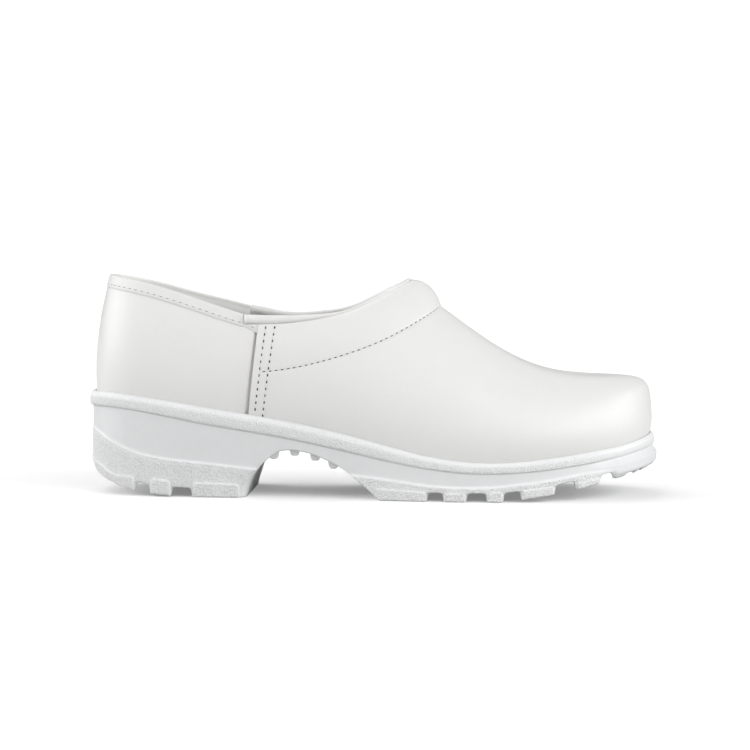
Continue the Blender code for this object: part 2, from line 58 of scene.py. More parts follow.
# Stations round the shoe: from the heel's back along the outer side to the toe, and back along the inner side
STATION_COLUMNS = (
    "x", "outer", "inner", "rim_top", "rim_low", "strip_top", "tread_top", "ground",
    "step", "inset", "spine_x", "fullness", "belly",
)
STATIONS = (
    (1.3, 0.0, 0.0, 51.6, 44.2, 34.5, 18.4, 14.0, 0.1, 1.4, 38.0, 2.0, 0.8),
    (8.0, 23.0, 23.0, 52.0, 44.6, 30.6, 15.6, 9.4, 0.5, 1.4, 40.0, 2.0, 1.5),
    (30.0, 35.0, 34.5, 50.2, 42.5, 21.2, 9.6, 2.3, 1.0, 1.4, 48.0, 2.0, 2.8),
    (62.0, 38.0, 37.0, 45.2, 36.5, 17.0, 7.2, 0.0, 1.0, 1.5, 68.0, 2.0, 3.1),
    (100.0, 40.0, 36.5, 39.2, 30.4, 13.4, 6.2, 0.0, 1.0, 1.9, 102.0, 2.0, 3.3),
    (138.0, 45.5, 39.0, 31.2, 22.8, 12.0, 6.2, 0.0, 1.0, 2.2, 137.0, 2.0, 3.2),
    (174.0, 51.5, 46.5, 22.4, 16.0, 7.8, 4.6, 0.0, 1.0, 2.2, 170.0, 2.1, 2.7),
    (206.0, 53.5, 52.0, 19.4, 14.0, 7.4, 4.8, 0.0, 1.0, 2.1, 200.0, 2.25, 2.3),
    (236.0, 50.0, 52.5, 21.9, 16.2, 11.0, 7.6, 3.8, 1.0, 2.0, 225.0, 2.6, 1.9),
    (262.0, 39.5, 46.5, 25.6, 20.0, 15.2, 11.8, 9.0, 1.0, 1.8, 241.0, 3.3, 1.5),
    (281.0, 22.5, 33.5, 29.2, 23.6, 18.2, 14.8, 13.0, 0.9, 1.7, 248.5, 5.2, 1.2),
    (291.2, -7.0, 7.0, 31.8, 25.8, 20.3, 17.4, 15.4, 0.8, 1.6, 250.0, 7.5, 1.0),
)
HALF = len(STATIONS) - 1
ROUND = 2 * HALF

# Ridge of the upper from the leg over the instep to the toe: x, height, offset to the inner side
RIDGE = (
    (30.0, 150.0, 0.0), (85.0, 146.0, 0.0), (130.0, 128.5, 0.5), (166.0, 105.2, 1.5), (181.0, 95.4, 2.0),
    (199.0, 82.4, 2.5), (218.5, 70.2, 3.5), (238.0, 62.7, 4.5), (250.0, 60.8, 5.0),
)

# Top edges of the upper in side view: x, and the height on the outer and on the inner side
COUNTER_EDGE = (
    (4.0, 111.2, 111.2), (30.0, 106.8, 106.8), (53.6, 100.1, 100.7), (75.0, 93.2, 95.6), (90.0, 88.6, 91.6),
)
COLLAR_SEAM = (
    (70.0, 86.9, 91.2), (84.0, 87.2, 89.8), (101.0, 87.8, 87.6), (121.0, 90.7, 90.3), (133.0, 93.8, 93.4),
    (143.0, 98.0, 97.6), (150.0, 101.3, 101.3), (157.0, 104.5, 104.5), (163.5, 106.6, 106.6),
)
# The pad's seam in side view, as x and height
PAD_SEAM = ((70.0, 62.5), (100.0, 64.7), (129.0, 71.7), (154.0, 81.4), (167.0, 88.4), (181.0, 96.6))

# Upper: clearance, wall, the counter's step under the vamp, and the seat and lip of the rim round its foot
GAP, WALL, COUNTER_STEP = 0.3, 2.8, 1.2
LIP_DEPTH, LIP_DROP, LIP_ROUND, LIP_LEAN = 5.0, 0.2, 0.35, 0.12
BELLY_PEAK = 0.25  # share of the height where the side is fullest
VAMP_ROWS, COUNTER_ROWS, BINDING_ROWS, ROLL_ROWS = 96, 80, 60, 40
# Rows stand closer at the pad's seam and at the top edge: by how much, and within what distance
PAD_CLOSER, PAD_CLOSER_REACH = 1.8, 3.0
EDGE_CLOSER, EDGE_CLOSER_REACH = 2.5, 1.6

# Padded collar: its swelling at the side and on the ridge, and how it rises over the pad's seam and falls off
PUFF_SIDE, PUFF_SIDE_X = 0.45, 98.0
PUFF_TOP, PUFF_TOP_X, PUFF_TOP_POWER, PUFF_REACH = 5.5, 166.0, 1.2, 19.0
PUFF_START, PUFF_RISE, PUFF_POWER = -0.7, 12.0, 0.9
PUFF_FALL, PUFF_FALL_FROM, PUFF_FALL_RUN = 0.36, 14.5, 6.0
SEAM_DEPTH, SEAM_WIDTH = 0.22, 0.8
COLLAR_ROUND, COLLAR_ROUND_SHARE = 0.9, math.sqrt(0.9)
# Painted highlight along the vamp's top edge under the roll: its width, the x where it starts, and its run
COLLAR_HIGHLIGHT, COLLAR_HIGHLIGHT_X, COLLAR_HIGHLIGHT_RUN = 1.5, 118.0, 20.0

# Lap of the vamp over the counter, in stations and then in millimetres, and the counter's trough beside it
LAP_STATION, LAP_LEAN, LAP_REACH = 3.573, 0.26, 1.2
LAP_COLUMNS = (0.0, 0.0035, 0.008, 0.014, 0.03, 0.058, 0.0586)
LAP_END, LEDGE_STEP_RUN, PAD_CREST_STATION = 0.004, 0.012, 6.2
LAP_UNDER, LAP_STATION_LENGTH, LAP_EDGE_ROUND, LAP_PAD_RUN = 2.2, 38.0, 0.4, 6.0
LAP_TROUGH, LAP_TROUGH_WIDTHS = 1.3, (1.6, 1.0)
# Distances of the lap's two rows of stitches from its edge, at the rim and at the top, and their furrows
LAP_ROWS = ((3.1, 4.0), (7.2, 8.5))
ROW_FURROW, ROW_FURROW_WIDTH, ROW_CLEAR = 0.12, 0.7, 0.6

# Roll on the vamp's edge: its first station, and half its height, its overhang and its gap at places along x
ROLL_STATION, ROLL_START = 3.40, 0.006
ROLL = ((80.0, 2.5), (100.0, 2.1), (121.0, 1.3), (133.0, 0.9), (150.0, 0.9), (158.0, 1.0), (163.5, 1.3))
ROLL_OVERHANG = ((80.0, 0.3), (104.0, 0.3), (128.0, -0.3), (165.0, -0.3))
ROLL_GAP = ((80.0, 0.25), (105.0, 0.2), (125.0, -0.15), (165.0, -0.25))
# Rings at each folded end of the roll, as distance from the end and fullness, and the even rings between
ROLL_END = ((0.0, 0.86), (0.12, 1.02), (0.35, 1.09), (0.7, 1.09), (1.1, 1.02), (1.45, 0.94), (1.8, 0.97))
ROLL_END_RUN, ROLL_RINGS, ROLL_TURNS = 2.4, 240, 32

# Tape over the counter's edge: its legs, and its ends' distance from the roll in stations, outer side first
BINDING_DEPTH, BINDING_THICKNESS, BINDING_GAP, BINDING_SOFT = 5.6, 0.35, 0.06, 0.25
BINDING_ENDS = (0.014, 0.001)
BINDING_TURNS, BINDING_CROWN, BINDING_SQUARE = 15, 1.2, 0.75
BINDING_OUTER = (1.4, 2.8, 4.2)
# Depth below the edge and extra thickness of the padded inner fold
BINDING_PAD = ((5.35, 0.3), (4.9, 1.0), (4.2, 1.4), (2.8, 1.15), (1.4, 0.6))
# Lower edge of the tape's tails under the roll, as x and height, and how far over the edge the stitches run
TAIL_LOW = ((72.0, 88.6), (82.7, 85.3), (86.5, 83.4), (90.0, 81.6))
TAIL_COLUMNS, TAIL_CLEAR = 16, 0.002
BINDING_SEAM, TAIL_SEAM = 1.8, 1.7

# Footbed: its thickness and cup, its soft edge, and the first places across it as shares of its width
INSOLE_THICKNESS, INSOLE_CUP, INSOLE_CUP_POWER = 4.0, 1.0, 0.7
INSOLE_SOFT, INSOLE_SOFT_SHARE, INSOLE_SOFT_WIDTH = 1.0, 0.05, 20.0
INSOLE_EDGE = (0.0, 0.012, 0.03, 0.07)

# Sole: the waist's cut in side view, the heel's breast, and the bars under the waist with their level feet
ARCH = (
    (83.8, -6.0), (84.2, 0.0), (87.2, 10.0), (94.1, 21.0), (103.5, 24.1), (116.0, 21.7), (134.0, 12.7),
    (149.6, 0.0), (155.5, -6.0),
)
FAR_UNDER = -50.0  # the cut's height where there is none
BREAST_ROUND, BREAST_ROUND_TOP, BREAST_ROUND_RUN, BREAST_SHARP = 6.2, 20.0, 16.0, 0.01
BREAST_SWEEP, RIB_SWEEP, TOE_SWEEP = math.tan(math.radians(2.6)), math.tan(math.radians(-1.5)), 0.09
RIB_XS = (95.6, 105.8, 116.0, 125.0)
RIB_WIDTH, RIB_HEIGHT, RIB_LEVEL = 5.0, 3.0, 2.6
RIB_ROUND, RIB_ROUND_SHARE, RIB_RAMP, RIB_END, RIB_END_RUN = 1.2, 0.96, 0.3, 0.15, 0.7

# Tread: grooves as x at the outer and at the inner edge with their width, and notches as x, width and depth
BALL_WIDTH = 107.0
GROOVES = (
    (32.0, 22.9, 6.8), (51.3, 43.7, 10.0), (177.4, 179.8, 8.0), (198.0, 202.1, 10.0), (215.8, 221.2, 8.5),
    (242.0, 249.6, 10.0), (262.6, 271.7, 6.5),
)
GROOVE_DEPTH, GROOVE_DRAFT, GROOVE_RAMP, GROOVE_ROOF_ROUND = 4.4, 0.4, 2.4, 2.0
TOE_NOTCHES = ((278.6, 4.4, 1.5), (283.4, 1.7, 1.8), (288.3, 1.7, 1.6))
NOTCH_RAMP, TOOTH_DRAFT = 0.7, 2.3
# The heel's grooves are closed in the middle by a dam
HEEL_DAM, HEEL_DAM_HALF, HEEL_DAM_RAMP = 0.6, 12.0, 4.0
# A channel runs along the middle of the heel and of the ball, with a fine sipe on each side of it
CHANNELS = ((14.0, 78.0), (158.0, 262.0))
CHANNEL_HALF, CHANNEL_EDGE, CHANNEL_DEPTH, CHANNEL_RAMP = 3.5, 0.4, 3.4, 0.8
SIPES = ((16.0, 76.0), (160.0, 258.0))
SIPE_DEPTH, SIPE_RAMP, SIPE_COLUMNS = 0.9, 2.0, [14, 15, 36, 37]
EDGE_ROUND = 0.8
HEEL_LUG_END, BALL_LUG_START = 81.4, 147.6
CHAMFER, CHAMFER_RUN = 0.6, 1.6
PANEL_RAISE, PANEL_ROUND, PANEL_RAMP, PANEL_CLEAR, PANEL_FOOT = 0.8, 1.5, 0.9, 0.5, 6.0
UNDER_WORKED = 0.35

# Closer cross lines of the tread: distances from the edges of grooves, the middles of bars, and other edges
GROOVE_LINES = (-2.0, -1.4, -0.9, -0.6, -0.35, -0.1, 0.1, 0.35, 0.6, 0.9, 1.2, 1.5, 1.9)
RIB_LINES = (0.0, 1.2, 1.6, 1.9, 2.2, 2.35, 2.5, 2.7)
NOTCH_LINES = (-0.45, -0.2, 0.0, 0.2, 0.45)
CHANNEL_LINES = (-0.6, -0.25, 0.25, 0.6)
BREAST_LINES = np.arange(78.6, 90.0, 0.5)
# Places across the tread: distances from its edges, and shares of the half channel and of a sipe's step
TREAD_EDGE = np.array([0.3, 0.65, 1.0, 1.35, 1.8, 2.8, 4.5, 7.0])
CHANNEL_PLACES = np.array([-1, -0.9, -0.8, -0.35, 0.35, 0.8, 0.9, 1])
SIPE_PLACES = np.array([-1.6, -0.8, 0.8, 1.6])

# Rows down the sole's side. Band rows are shares of the band's height, with how far it stands proud there.
# Strip rows are heights over the strip's top line, with the share of its step that is reached there.
BAND_ROWS = (
    (0.0, -0.95), (0.04, -0.55), (0.1, -0.15), (0.18, 0.25), (0.27, 0.58), (0.36, 0.78), (0.46, 0.88),
    (0.6, 0.9), (0.75, 0.88), (0.86, 0.78), (0.92, 0.58), (0.965, 0.28), (1.0, -0.15),
)
STRIP_ROWS = ((1.0, 0.0), (0.7, 0.1), (0.4, 0.38), (0.1, 0.72), (-0.2, 0.93), (-0.6, 1.0))
LUG_ROWS = (0.7, 0.4, 0.15, -0.1, -0.35, -0.7, -1.1)
EDGE_ROWS = np.array([1.0, 0.63, 0.33, 0.13, 0.0])
WALL_ROWS = np.linspace(0, 1, 11)
OVER_LUG_ROWS, DOWN_LUG_ROWS = np.array([0.3, 0.65]), np.array([0.35, 0.7, 1.0])
WALL_FROM, WALL_TO, ROW_APART = 0.4, 1.6, 0.003
WALL_TUCK, WALL_TUCK_HEEL, WALL_TUCK_LOW, STRIP_PROUD = 0.2, 0.55, 0.3, 0.75
# What the heel and the toe change, with the place or the run of each change in stations
HEEL_DIP, HEEL_DIP_AT, HEEL_DIP_RUN = 2.2, 1.45, 0.35
HEEL_TUCK, HEEL_TUCK_RUN = 0.7, 0.8
HEEL_TAPER, HEEL_TAPER_RUN, HEEL_TAPER_POWER = 2.6, 0.9, 1.5
TOE_PLAIN_FROM, TOE_PLAIN_RUN, TOE_FLARE = 8.5, 0.9, 2.4
TOE_TAPER, TOE_TAPER_POWER = 2.4, 1.3
# Pebbled places; painted highlights along the edges of the band, the strip and the lugs; and painted light on
# the heel's breast
BAND_WORKED, HIGHLIGHT_RIM_HALF, BREAST_PAINTED_LIGHT, BREAST_PAINTED_LIGHT_DEPTH = 0.65, 0.55, 0.8, 1.5

# Stitches of each seam: pitch, half length and half width of a needle hole, rise and radius of the thread
LAP_STITCH = (3.48, (0.85, 0.4), 0.26, 0.3)
PAD_STITCH = (3.05, (0.85, 0.31), 0.2, 0.3)
BINDING_STITCH = (3.5, (0.9, 0.12), 0.2, 0.22)
LAP_ROW_STARTS, LAP_ROW_END, SEAM_END, PAD_ROW_CLEAR = (3.2, 0.6), 0.6, 1.5, 0.8
THREAD_SINK, THREAD_TIP, HOLE_DEPTHS = 0.14, 0.35, (-0.12, 0.02, 0.06)

# Lights: name, azimuth, elevation and spread in degrees, and strength
LIGHTS = (
    ("toe_side_light", 84.0, 17.0, 60.0, 1.7),
    ("toe_front_light", 60.0, 25.0, 45.0, 0.78),
    ("front_toe_light", 30.0, 30.0, 45.0, 0.95),
    ("front_heel_light", -30.0, 37.0, 45.0, 0.62),
    ("heel_front_light", -60.0, 15.0, 45.0, 0.18),
    ("heel_side_light", -82.0, 15.0, 45.0, 1.86),
    ("heel_rear_light", -120.0, 28.0, 45.0, 0.58),
    ("heel_back_light", -150.0, 55.0, 45.0, 0.76),
    ("back_light", 180.0, 35.0, 45.0, 0.2),
    ("toe_back_light", 150.0, 15.0, 45.0, 0.11),
)
BACKGROUND_WHITE = 1.05
# Paper floor: half its side in metres, its tone to the camera and to the shoe, and its own light
FLOOR_HALF, FLOOR_SHADE, FLOOR_BOUNCE, FLOOR_LIFT = 6.0, 0.9, 0.53, 0.205

# Leathers: darker and lighter tone, cells and specks of the grain, its depth, and the range of roughness
LEATHERS = {
    "white_leather": ((0.77, 0.768, 0.755), (0.84, 0.838, 0.828), 1500.0, 5200.0, 0.25, (0.36, 0.5)),
    "soft_collar_leather": ((0.76, 0.757, 0.742), (0.83, 0.827, 0.813), 1700.0, 6000.0, 0.35, (0.42, 0.56)),
    "binding_leather": ((0.75, 0.748, 0.734), (0.82, 0.817, 0.803), 2000.0, 7000.0, 0.3, (0.42, 0.55)),
}
# Cloths: darker and lighter tone, and threads for each metre
CLOTHS = {
    "lining_cloth": ((0.52, 0.52, 0.51), (0.68, 0.68, 0.67), 700.0),
    "footbed_cloth": ((0.5, 0.5, 0.49), (0.68, 0.67, 0.65), 520.0),
}


def hermite(f, start, end, leaving, arriving):
    """Cubic from start to end while f runs from 0 to 1, with these slopes at its ends."""
    rise = end - start
    bend = leaving + arriving - 2 * rise
    return start + f * (leaving + f * (rise - leaving - bend + f * bend))


def closed_spline(values):
    """A smooth closed curve through one value at each whole station."""
    values = np.asarray(values, float)
    count = len(values)
    unit_matrix = np.eye(count)
    system = 4 * unit_matrix + np.roll(unit_matrix, 1, 0) + np.roll(unit_matrix, -1, 0)
    slopes = np.linalg.solve(system, 3 * (np.roll(values, -1) - np.roll(values, 1)))

    def at(t):
        t = np.asarray(t, float) % count
        i = np.floor(t).astype(int) % count
        j = (i + 1) % count
        return hermite(t - np.floor(t), values[i], values[j], slopes[i], slopes[j])

    return at


def open_spline(rows, column=1):
    """A natural cubic through the rows, and straight on past its ends."""
    x = np.array([row[0] for row in rows], float)
    y = np.array([row[column] for row in rows], float)
    h = np.diff(x)
    slope = np.diff(y) / h
    system = np.diag(np.r_[2 / h[0], 2 / h[:-1] + 2 / h[1:], 2 / h[-1]])
    system += np.diag(1 / h, 1) + np.diag(1 / h, -1)
    pull = 3 * np.r_[slope[0] / h[0], slope[:-1] / h[:-1] + slope[1:] / h[1:], slope[-1] / h[-1]]
    m = np.linalg.solve(system, pull)

    def at(where):
        where = np.asarray(where, float)
        i = np.clip(np.searchsorted(x, where) - 1, 0, len(h) - 1)
        f = np.clip((where - x[i]) / h[i], 0, 1)
        inside = hermite(f, y[i], y[i + 1], m[i] * h[i], m[i + 1] * h[i])
        return inside + m[0] * np.minimum(where - x[0], 0) + m[-1] * np.maximum(where - x[-1], 0)

    return at


def station_column(name):
    return [row[STATION_COLUMNS.index(name)] for row in STATIONS]


def there_and_back(values):
    """Heel to toe along the outer side, and back along the inner side."""
    return list(values) + list(values[-2:0:-1])


station = SimpleNamespace(**{
    name: closed_spline(there_and_back(station_column(name))) for name in STATION_COLUMNS[3:]
})
wall_x = closed_spline(there_and_back(station_column("x")))
wall_y = closed_spline([-v for v in station_column("outer")] + station_column("inner")[-2:0:-1])
ridge_height, ridge_offset = open_spline(RIDGE, 1), open_spline(RIDGE, 2)
outer_edge, inner_edge = open_spline(COUNTER_EDGE, 1), open_spline(COUNTER_EDGE, 2)
outer_seam, inner_seam = open_spline(COLLAR_SEAM, 1), open_spline(COLLAR_SEAM, 2)
pad_seam, roll_half_height = open_spline(PAD_SEAM), open_spline(ROLL)
seat_line = open_spline(STATIONS, STATION_COLUMNS.index("rim_top"))


def smooth(value):
    """0 below 0, 1 above 1 and an even ease between."""
    value = np.clip(value, 0, 1)
    return value * value * (3 - 2 * value)


def bell(value):
    """1 at 0, and falling off to both sides within about 2."""
    return np.exp(-(value**2))


def between(place, left, right, ramp):
    """1 between left and right and 0 outside, over a ramp at each end."""
    return smooth((place - left) / ramp + 0.5) * smooth((right - place) / ramp + 0.5)


def rounding(radius, into):
    """How far a round corner has fallen away, this far into its radius."""
    return radius - np.sqrt(radius**2 - np.clip(into, 0, radius) ** 2)


def unit(vectors):
    return vectors / np.linalg.norm(vectors, axis=-1, keepdims=True)


def blend(a, b, share):
    return a + (b - a) * share


def run_along(points):
    """Length along a line of points, from its start."""
    return np.r_[0, np.cumsum(np.linalg.norm(np.diff(points, axis=0), axis=1))]


def at_run(where, run, vectors):
    """The vectors of a line of points, read at these lengths along it."""
    return np.stack([np.interp(where, run, vectors[:, k]) for k in range(3)], -1)


def plan_normal(t, step=0.01):
    """Outward direction of the sole's outline in plan."""
    dx = wall_x(t + step) - wall_x(t - step)
    dy = wall_y(t + step) - wall_y(t - step)
    length = np.hypot(dx, dy)
    return dy / length, -dx / length


def plan_point(t, proud):
    """A point of the sole's outline, moved out by proud."""
    nx, ny = plan_normal(t)
    return wall_x(t) + proud * nx, wall_y(t) + proud * ny


def seat(x):
    """Height of the ledge inside the rim that the upper and the insole stand on."""
    return seat_line(x) - LIP_DEPTH


def ground(t):
    """Height of the tread's foot, which leaves the floor at the toe and the heel's back."""
    return np.maximum(station.ground(t), 0)


def along_side(t):
    """Stations from the heel's back, the same on both sides."""
    return np.where(t <= HALF, t, ROUND - t)


# Form of the upper

def belly_share(upward):
    """How the belly swells with height: none at the rim and the ridge, whole at its peak."""
    return upward * np.maximum(1 - upward, 0) ** 3 / (BELLY_PEAK * (1 - BELLY_PEAK) ** 3)


def last_point(t, arc):
    """The vamp's surface before padding. t runs round the shoe and arc from the rim, 0, to the ridge, 1."""
    foot_x, foot_y = plan_point(t, -station.inset(t))
    spine_x = station.spine_x(t)
    power = 2 / station.fullness(t)
    inward = 1 - np.cos(arc * math.pi / 2) ** power
    upward = np.sin(arc * math.pi / 2) ** power
    bulge = station.belly(t) * belly_share(upward)
    nx, ny = plan_normal(t)
    x = blend(foot_x, spine_x, inward) + nx * bulge
    y = blend(foot_y, ridge_offset(spine_x), inward) + ny * bulge
    return np.stack([x, y, blend(station.rim_top(t), ridge_height(spine_x), upward)], axis=-1)


def last_normal(t, arc, step=0.004, end=0.001):
    """Outward direction of the vamp's surface, read a little off the rim and the ridge."""
    low, middle, high = (np.clip(arc + d, end, 1 - end) for d in (-step, 0, step))
    along = last_point(t + step, middle) - last_point(t - step, middle)
    up = last_point(t, high) - last_point(t, low)
    return unit(np.cross(along, up))


def lean(t, arc):
    """The station that a column has reached at this height: near the lap the columns lean with it."""
    side = np.where(t <= HALF, 1, -1)
    near = np.clip(1 - np.abs(along_side(t) - LAP_STATION) / LAP_REACH, 0, 1)
    upward = np.sin(arc * math.pi / 2) ** (2 / station.fullness(t))
    return t + side * LAP_LEAN * upward * near


def over_pad_seam(points):
    """Height over the pad's seam."""
    return points[..., 2] - pad_seam(points[..., 0])


def padding(points):
    """How far the padded collar swells out of the vamp at these points: most on the ridge of the instep."""
    x, over = points[..., 0], over_pad_seam(points)
    crest = bell((points[..., 1] - ridge_offset(x)) / PUFF_REACH)
    forward = smooth((x - PUFF_SIDE_X) / (PUFF_TOP_X - PUFF_SIDE_X)) ** PUFF_TOP_POWER
    rise = np.sin(math.pi / 2 * np.clip((over - PUFF_START) / PUFF_RISE, 0, 1)) ** PUFF_POWER
    fall = PUFF_FALL * smooth((over - PUFF_FALL_FROM) / PUFF_FALL_RUN)
    return blend(PUFF_SIDE, PUFF_TOP, crest * forward) * rise * (1 - fall)


def collar_edge(t, x):
    """Height of the upper's top edge in side view: the counter's, or from the roll on the vamp's."""
    vamp_edge = np.where(t < HALF, outer_seam(x), inner_seam(x))
    heel_edge = np.where(t < HALF, outer_edge(x), inner_edge(x))
    return np.where(along_side(t) < ROLL_STATION, heel_edge, vamp_edge)


def column_arcs(t, rows, samples=320):
    """Arcs for the rows of each column, from the rim to the collar or the ridge, closer at the pad's seam."""
    t = t[:, None]
    arcs = np.linspace(0, 1, samples)[None, :]
    points = last_point(lean(t, arcs), arcs + 0 * t)
    over = points[..., 2] - collar_edge(t, points[..., 0])
    above = over > 0
    above[:, 0] = False
    ends = above.any(axis=1)
    first = np.maximum(np.argmax(above, axis=1), 1)
    each = np.arange(len(t))
    low, high = over[each, first - 1], over[each, first]
    share = np.where(ends, low / np.where(low == high, 1, low - high), 0)
    arcs = arcs * np.where(ends, (first - 1 + share) / (samples - 1), 1.0)[:, None]
    points = last_point(lean(t, arcs), arcs)
    length = np.linalg.norm(np.diff(points, axis=1), axis=2)
    middle = (points[:, 1:] + points[:, :-1]) / 2
    left = np.cumsum(length[:, ::-1], axis=1)[:, ::-1]
    on_vamp = along_side(t) > LAP_STATION - 0.01
    weight = 1 + PAD_CLOSER * bell(over_pad_seam(middle) / PAD_CLOSER_REACH) * on_vamp
    weight += EDGE_CLOSER * bell(left / EDGE_CLOSER_REACH)
    run = np.hstack([np.zeros((len(t), 1)), np.cumsum(length * weight, axis=1)])
    return np.array([np.interp(np.linspace(0, r[-1], rows), r, a) for r, a in zip(run, arcs)])


def throat_station():
    """The first station whose column runs whole to the ridge, in front of the collar."""
    stations = np.linspace(LAP_STATION, HALF, 8000)
    x = station.spine_x(stations)
    return float(stations[np.argmax(ridge_height(x) < collar_edge(stations, x))])


THROAT = throat_station()
# Columns just behind the throat, ever closer to it
THROAT_RUN = THROAT - 0.036 * np.linspace(1, 0, 12) ** 2


def put(name, data):
    """A new object in the scene."""
    made = bpy.data.objects.new(name, data)
    bpy.context.scene.collection.objects.link(made)
    return made


class Shell:
    """Points, faces and finishes of one piece while it is drawn, with its worked places and its places of
    painted light and painted highlight.
    """

    JOIN_WITHIN = 2e-4

    def __init__(self):
        self.points, self.faces, self.finishes, self.worked, self.pale = [], [], [], [], []
        self.count = 0

    def sheet(self, grid, finish=0, wrap=False, worked=None, pale=None, skip=None):
        """A grid of points with faces between them. wrap joins the last column to the first."""
        grid = np.asarray(grid, float)
        rows, columns = grid.shape[:2]
        index = self.count + np.arange(rows * columns).reshape(rows, columns)
        right = np.roll(index, -1, axis=1) if wrap else index[:, 1:]
        left = index if wrap else index[:, :-1]
        quads = np.stack([left[:-1], left[1:], right[1:], right[:-1]], axis=-1)
        finishes = np.broadcast_to(np.asarray(finish), quads.shape[:2])
        keep = np.ones(quads.shape[:2], bool) if skip is None else ~skip
        self.points.append(grid.reshape(-1, 3))
        for kept, values in ((self.worked, worked), (self.pale, pale)):
            kept.append(np.zeros(rows * columns) if values is None else np.asarray(values).reshape(-1))
        self.faces.extend(quads[keep].tolist())
        self.finishes.extend(finishes[keep].tolist())
        self.count += rows * columns
        return index

    def wall(self, outer, inner, **marks):
        """An outer surface in the first finish and an inner one in the second, joined along their edges."""
        finish = np.repeat((0, 1), outer.shape[1])
        self.sheet(np.hstack([outer, inner[:, ::-1]]), finish, wrap=True, **marks)

    def tube(self, rings):
        """A closed skin through rings of points, with one face across each end."""
        index = self.sheet(rings, wrap=True)
        for end_ring in (index[0], index[-1]):
            self.faces.append(list(end_ring))
            self.finishes.append(0)

    def piece(self, name, finishes, node, slot, sharp=None):
        """The shell as an object, with coincident points joined and faces turned out."""
        points = np.concatenate(self.points)
        cells = np.round(points / self.JOIN_WITHIN).astype(np.int64)
        _, first, same = np.unique(cells, axis=0, return_index=True, return_inverse=True)
        same = same.reshape(-1)
        faces, marks = [], []
        for face, finish in zip(self.faces, self.finishes):
            corners = list(dict.fromkeys(same[face].tolist()))
            if len(corners) > 2:
                faces.append(corners)
                marks.append(finish)
        data = bpy.data.meshes.new(name)
        data.from_pydata(((points[first] - CENTRE) * MM).tolist(), [], faces)
        for finish in finishes:
            data.materials.append(finish)
        data.polygons.foreach_set("material_index", marks)
        for mark, values in (("worked", self.worked), ("pale", self.pale)):
            attribute = data.attributes.new(mark, "FLOAT", "POINT")
            attribute.data.foreach_set("value", np.concatenate(values)[first])
        turned = bmesh.new()
        turned.from_mesh(data)
        bmesh.ops.recalc_face_normals(turned, faces=turned.faces)
        turned.to_mesh(data)
        turned.free()
        data.shade_smooth()
        if sharp:
            data.set_sharp_from_angle(angle=math.radians(sharp))
        made = put(name, data)
        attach(made, "root")
        if node:
            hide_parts(node)
        return made


# Sole

ARCH_X, ARCH_Z = (
    open_spline([(i, point[axis]) for i, point in enumerate(ARCH)])(np.linspace(0, len(ARCH) - 1, 400))
    for axis in (0, 1)
)
ARCH_CROWN = int(np.argmax(ARCH_Z))
# Grooves by their middle, their slope across the tread and their width
TREAD_GROOVES = [((o + i) / 2, (i - o) / BALL_WIDTH, w) for o, i, w in GROOVES]
# Places along the shoe with the slope of the sole's cross lines there
SWEEPS = sorted(
    [(0.0, 0.0), (6.0, 0.0), (76.0, BREAST_SWEEP), (86.5, BREAST_SWEEP), (94.0, RIB_SWEEP)]
    + [(128.0, RIB_SWEEP), (140.0, 0.0), (152.0, 0.0), (285.0, TOE_SWEEP), (290.8, 0.0), (293.0, 0.0)]
    + [(middle + side * width / 2, slope) for middle, slope, width in TREAD_GROOVES for side in (-1, 1)]
)


def arch_height(where):
    """Height of the waist's cut along the shoe, and far under the floor away from it."""
    return np.interp(where, ARCH_X, ARCH_Z, left=FAR_UNDER, right=FAR_UNDER)


def breast_turn(place, height):
    """How far the wall turns in where it meets the heel's breast."""
    off = np.interp(height, ARCH_Z[:ARCH_CROWN], ARCH_X[:ARCH_CROWN]) - place[:, None]
    radius = BREAST_SHARP + BREAST_ROUND * smooth((BREAST_ROUND_TOP - height) / BREAST_ROUND_RUN)
    return np.where(place[:, None] < ARCH_X[ARCH_CROWN], rounding(radius, radius - off), 0.0)


def cross_place(x, y, rounds=12):
    """The cross line that a plan point lies on, named by where it meets the shoe's middle."""
    place = np.array(x, float)
    for _ in range(rounds):
        place = x - np.interp(place, *zip(*SWEEPS)) * y
    return place


def groove_depth(place):
    """Depth of the tread's cross grooves, and of the fine notches under the toe."""
    deep = np.zeros_like(place)
    draft = np.where(place > TREAD_GROOVES[-1][0], TOOTH_DRAFT, GROOVE_DRAFT)
    for middle, _, width in TREAD_GROOVES:
        cut = between(place, middle - width / 2, middle + width / 2, GROOVE_RAMP * draft)
        roof = rounding(GROOVE_ROOF_ROUND, GROOVE_ROOF_ROUND - width / 2 + np.abs(place - middle))
        deep = np.maximum(deep, (GROOVE_DEPTH - roof) * cut)
    for middle, width, depth in TOE_NOTCHES:
        cut = between(place, middle - width / 2, middle + width / 2, NOTCH_RAMP)
        deep = np.maximum(deep, depth * cut)
    return deep


def rib_drop(place):
    """How far the bars under the waist hang from it."""
    drop = np.zeros_like(place)
    half = RIB_WIDTH / 2
    for x in RIB_XS:
        off = np.abs(place - x)
        crown = np.clip((off - (half - RIB_ROUND - RIB_RAMP)) / RIB_ROUND, 0, 1)
        round_off = RIB_ROUND * (1 - np.sqrt(1 - RIB_ROUND_SHARE * crown**2))
        hang = np.minimum(RIB_HEIGHT, arch_height(place) - arch_height(x) + RIB_LEVEL)
        drop = np.maximum(drop, (hang - round_off) * smooth((half - off) / RIB_RAMP))
    return drop


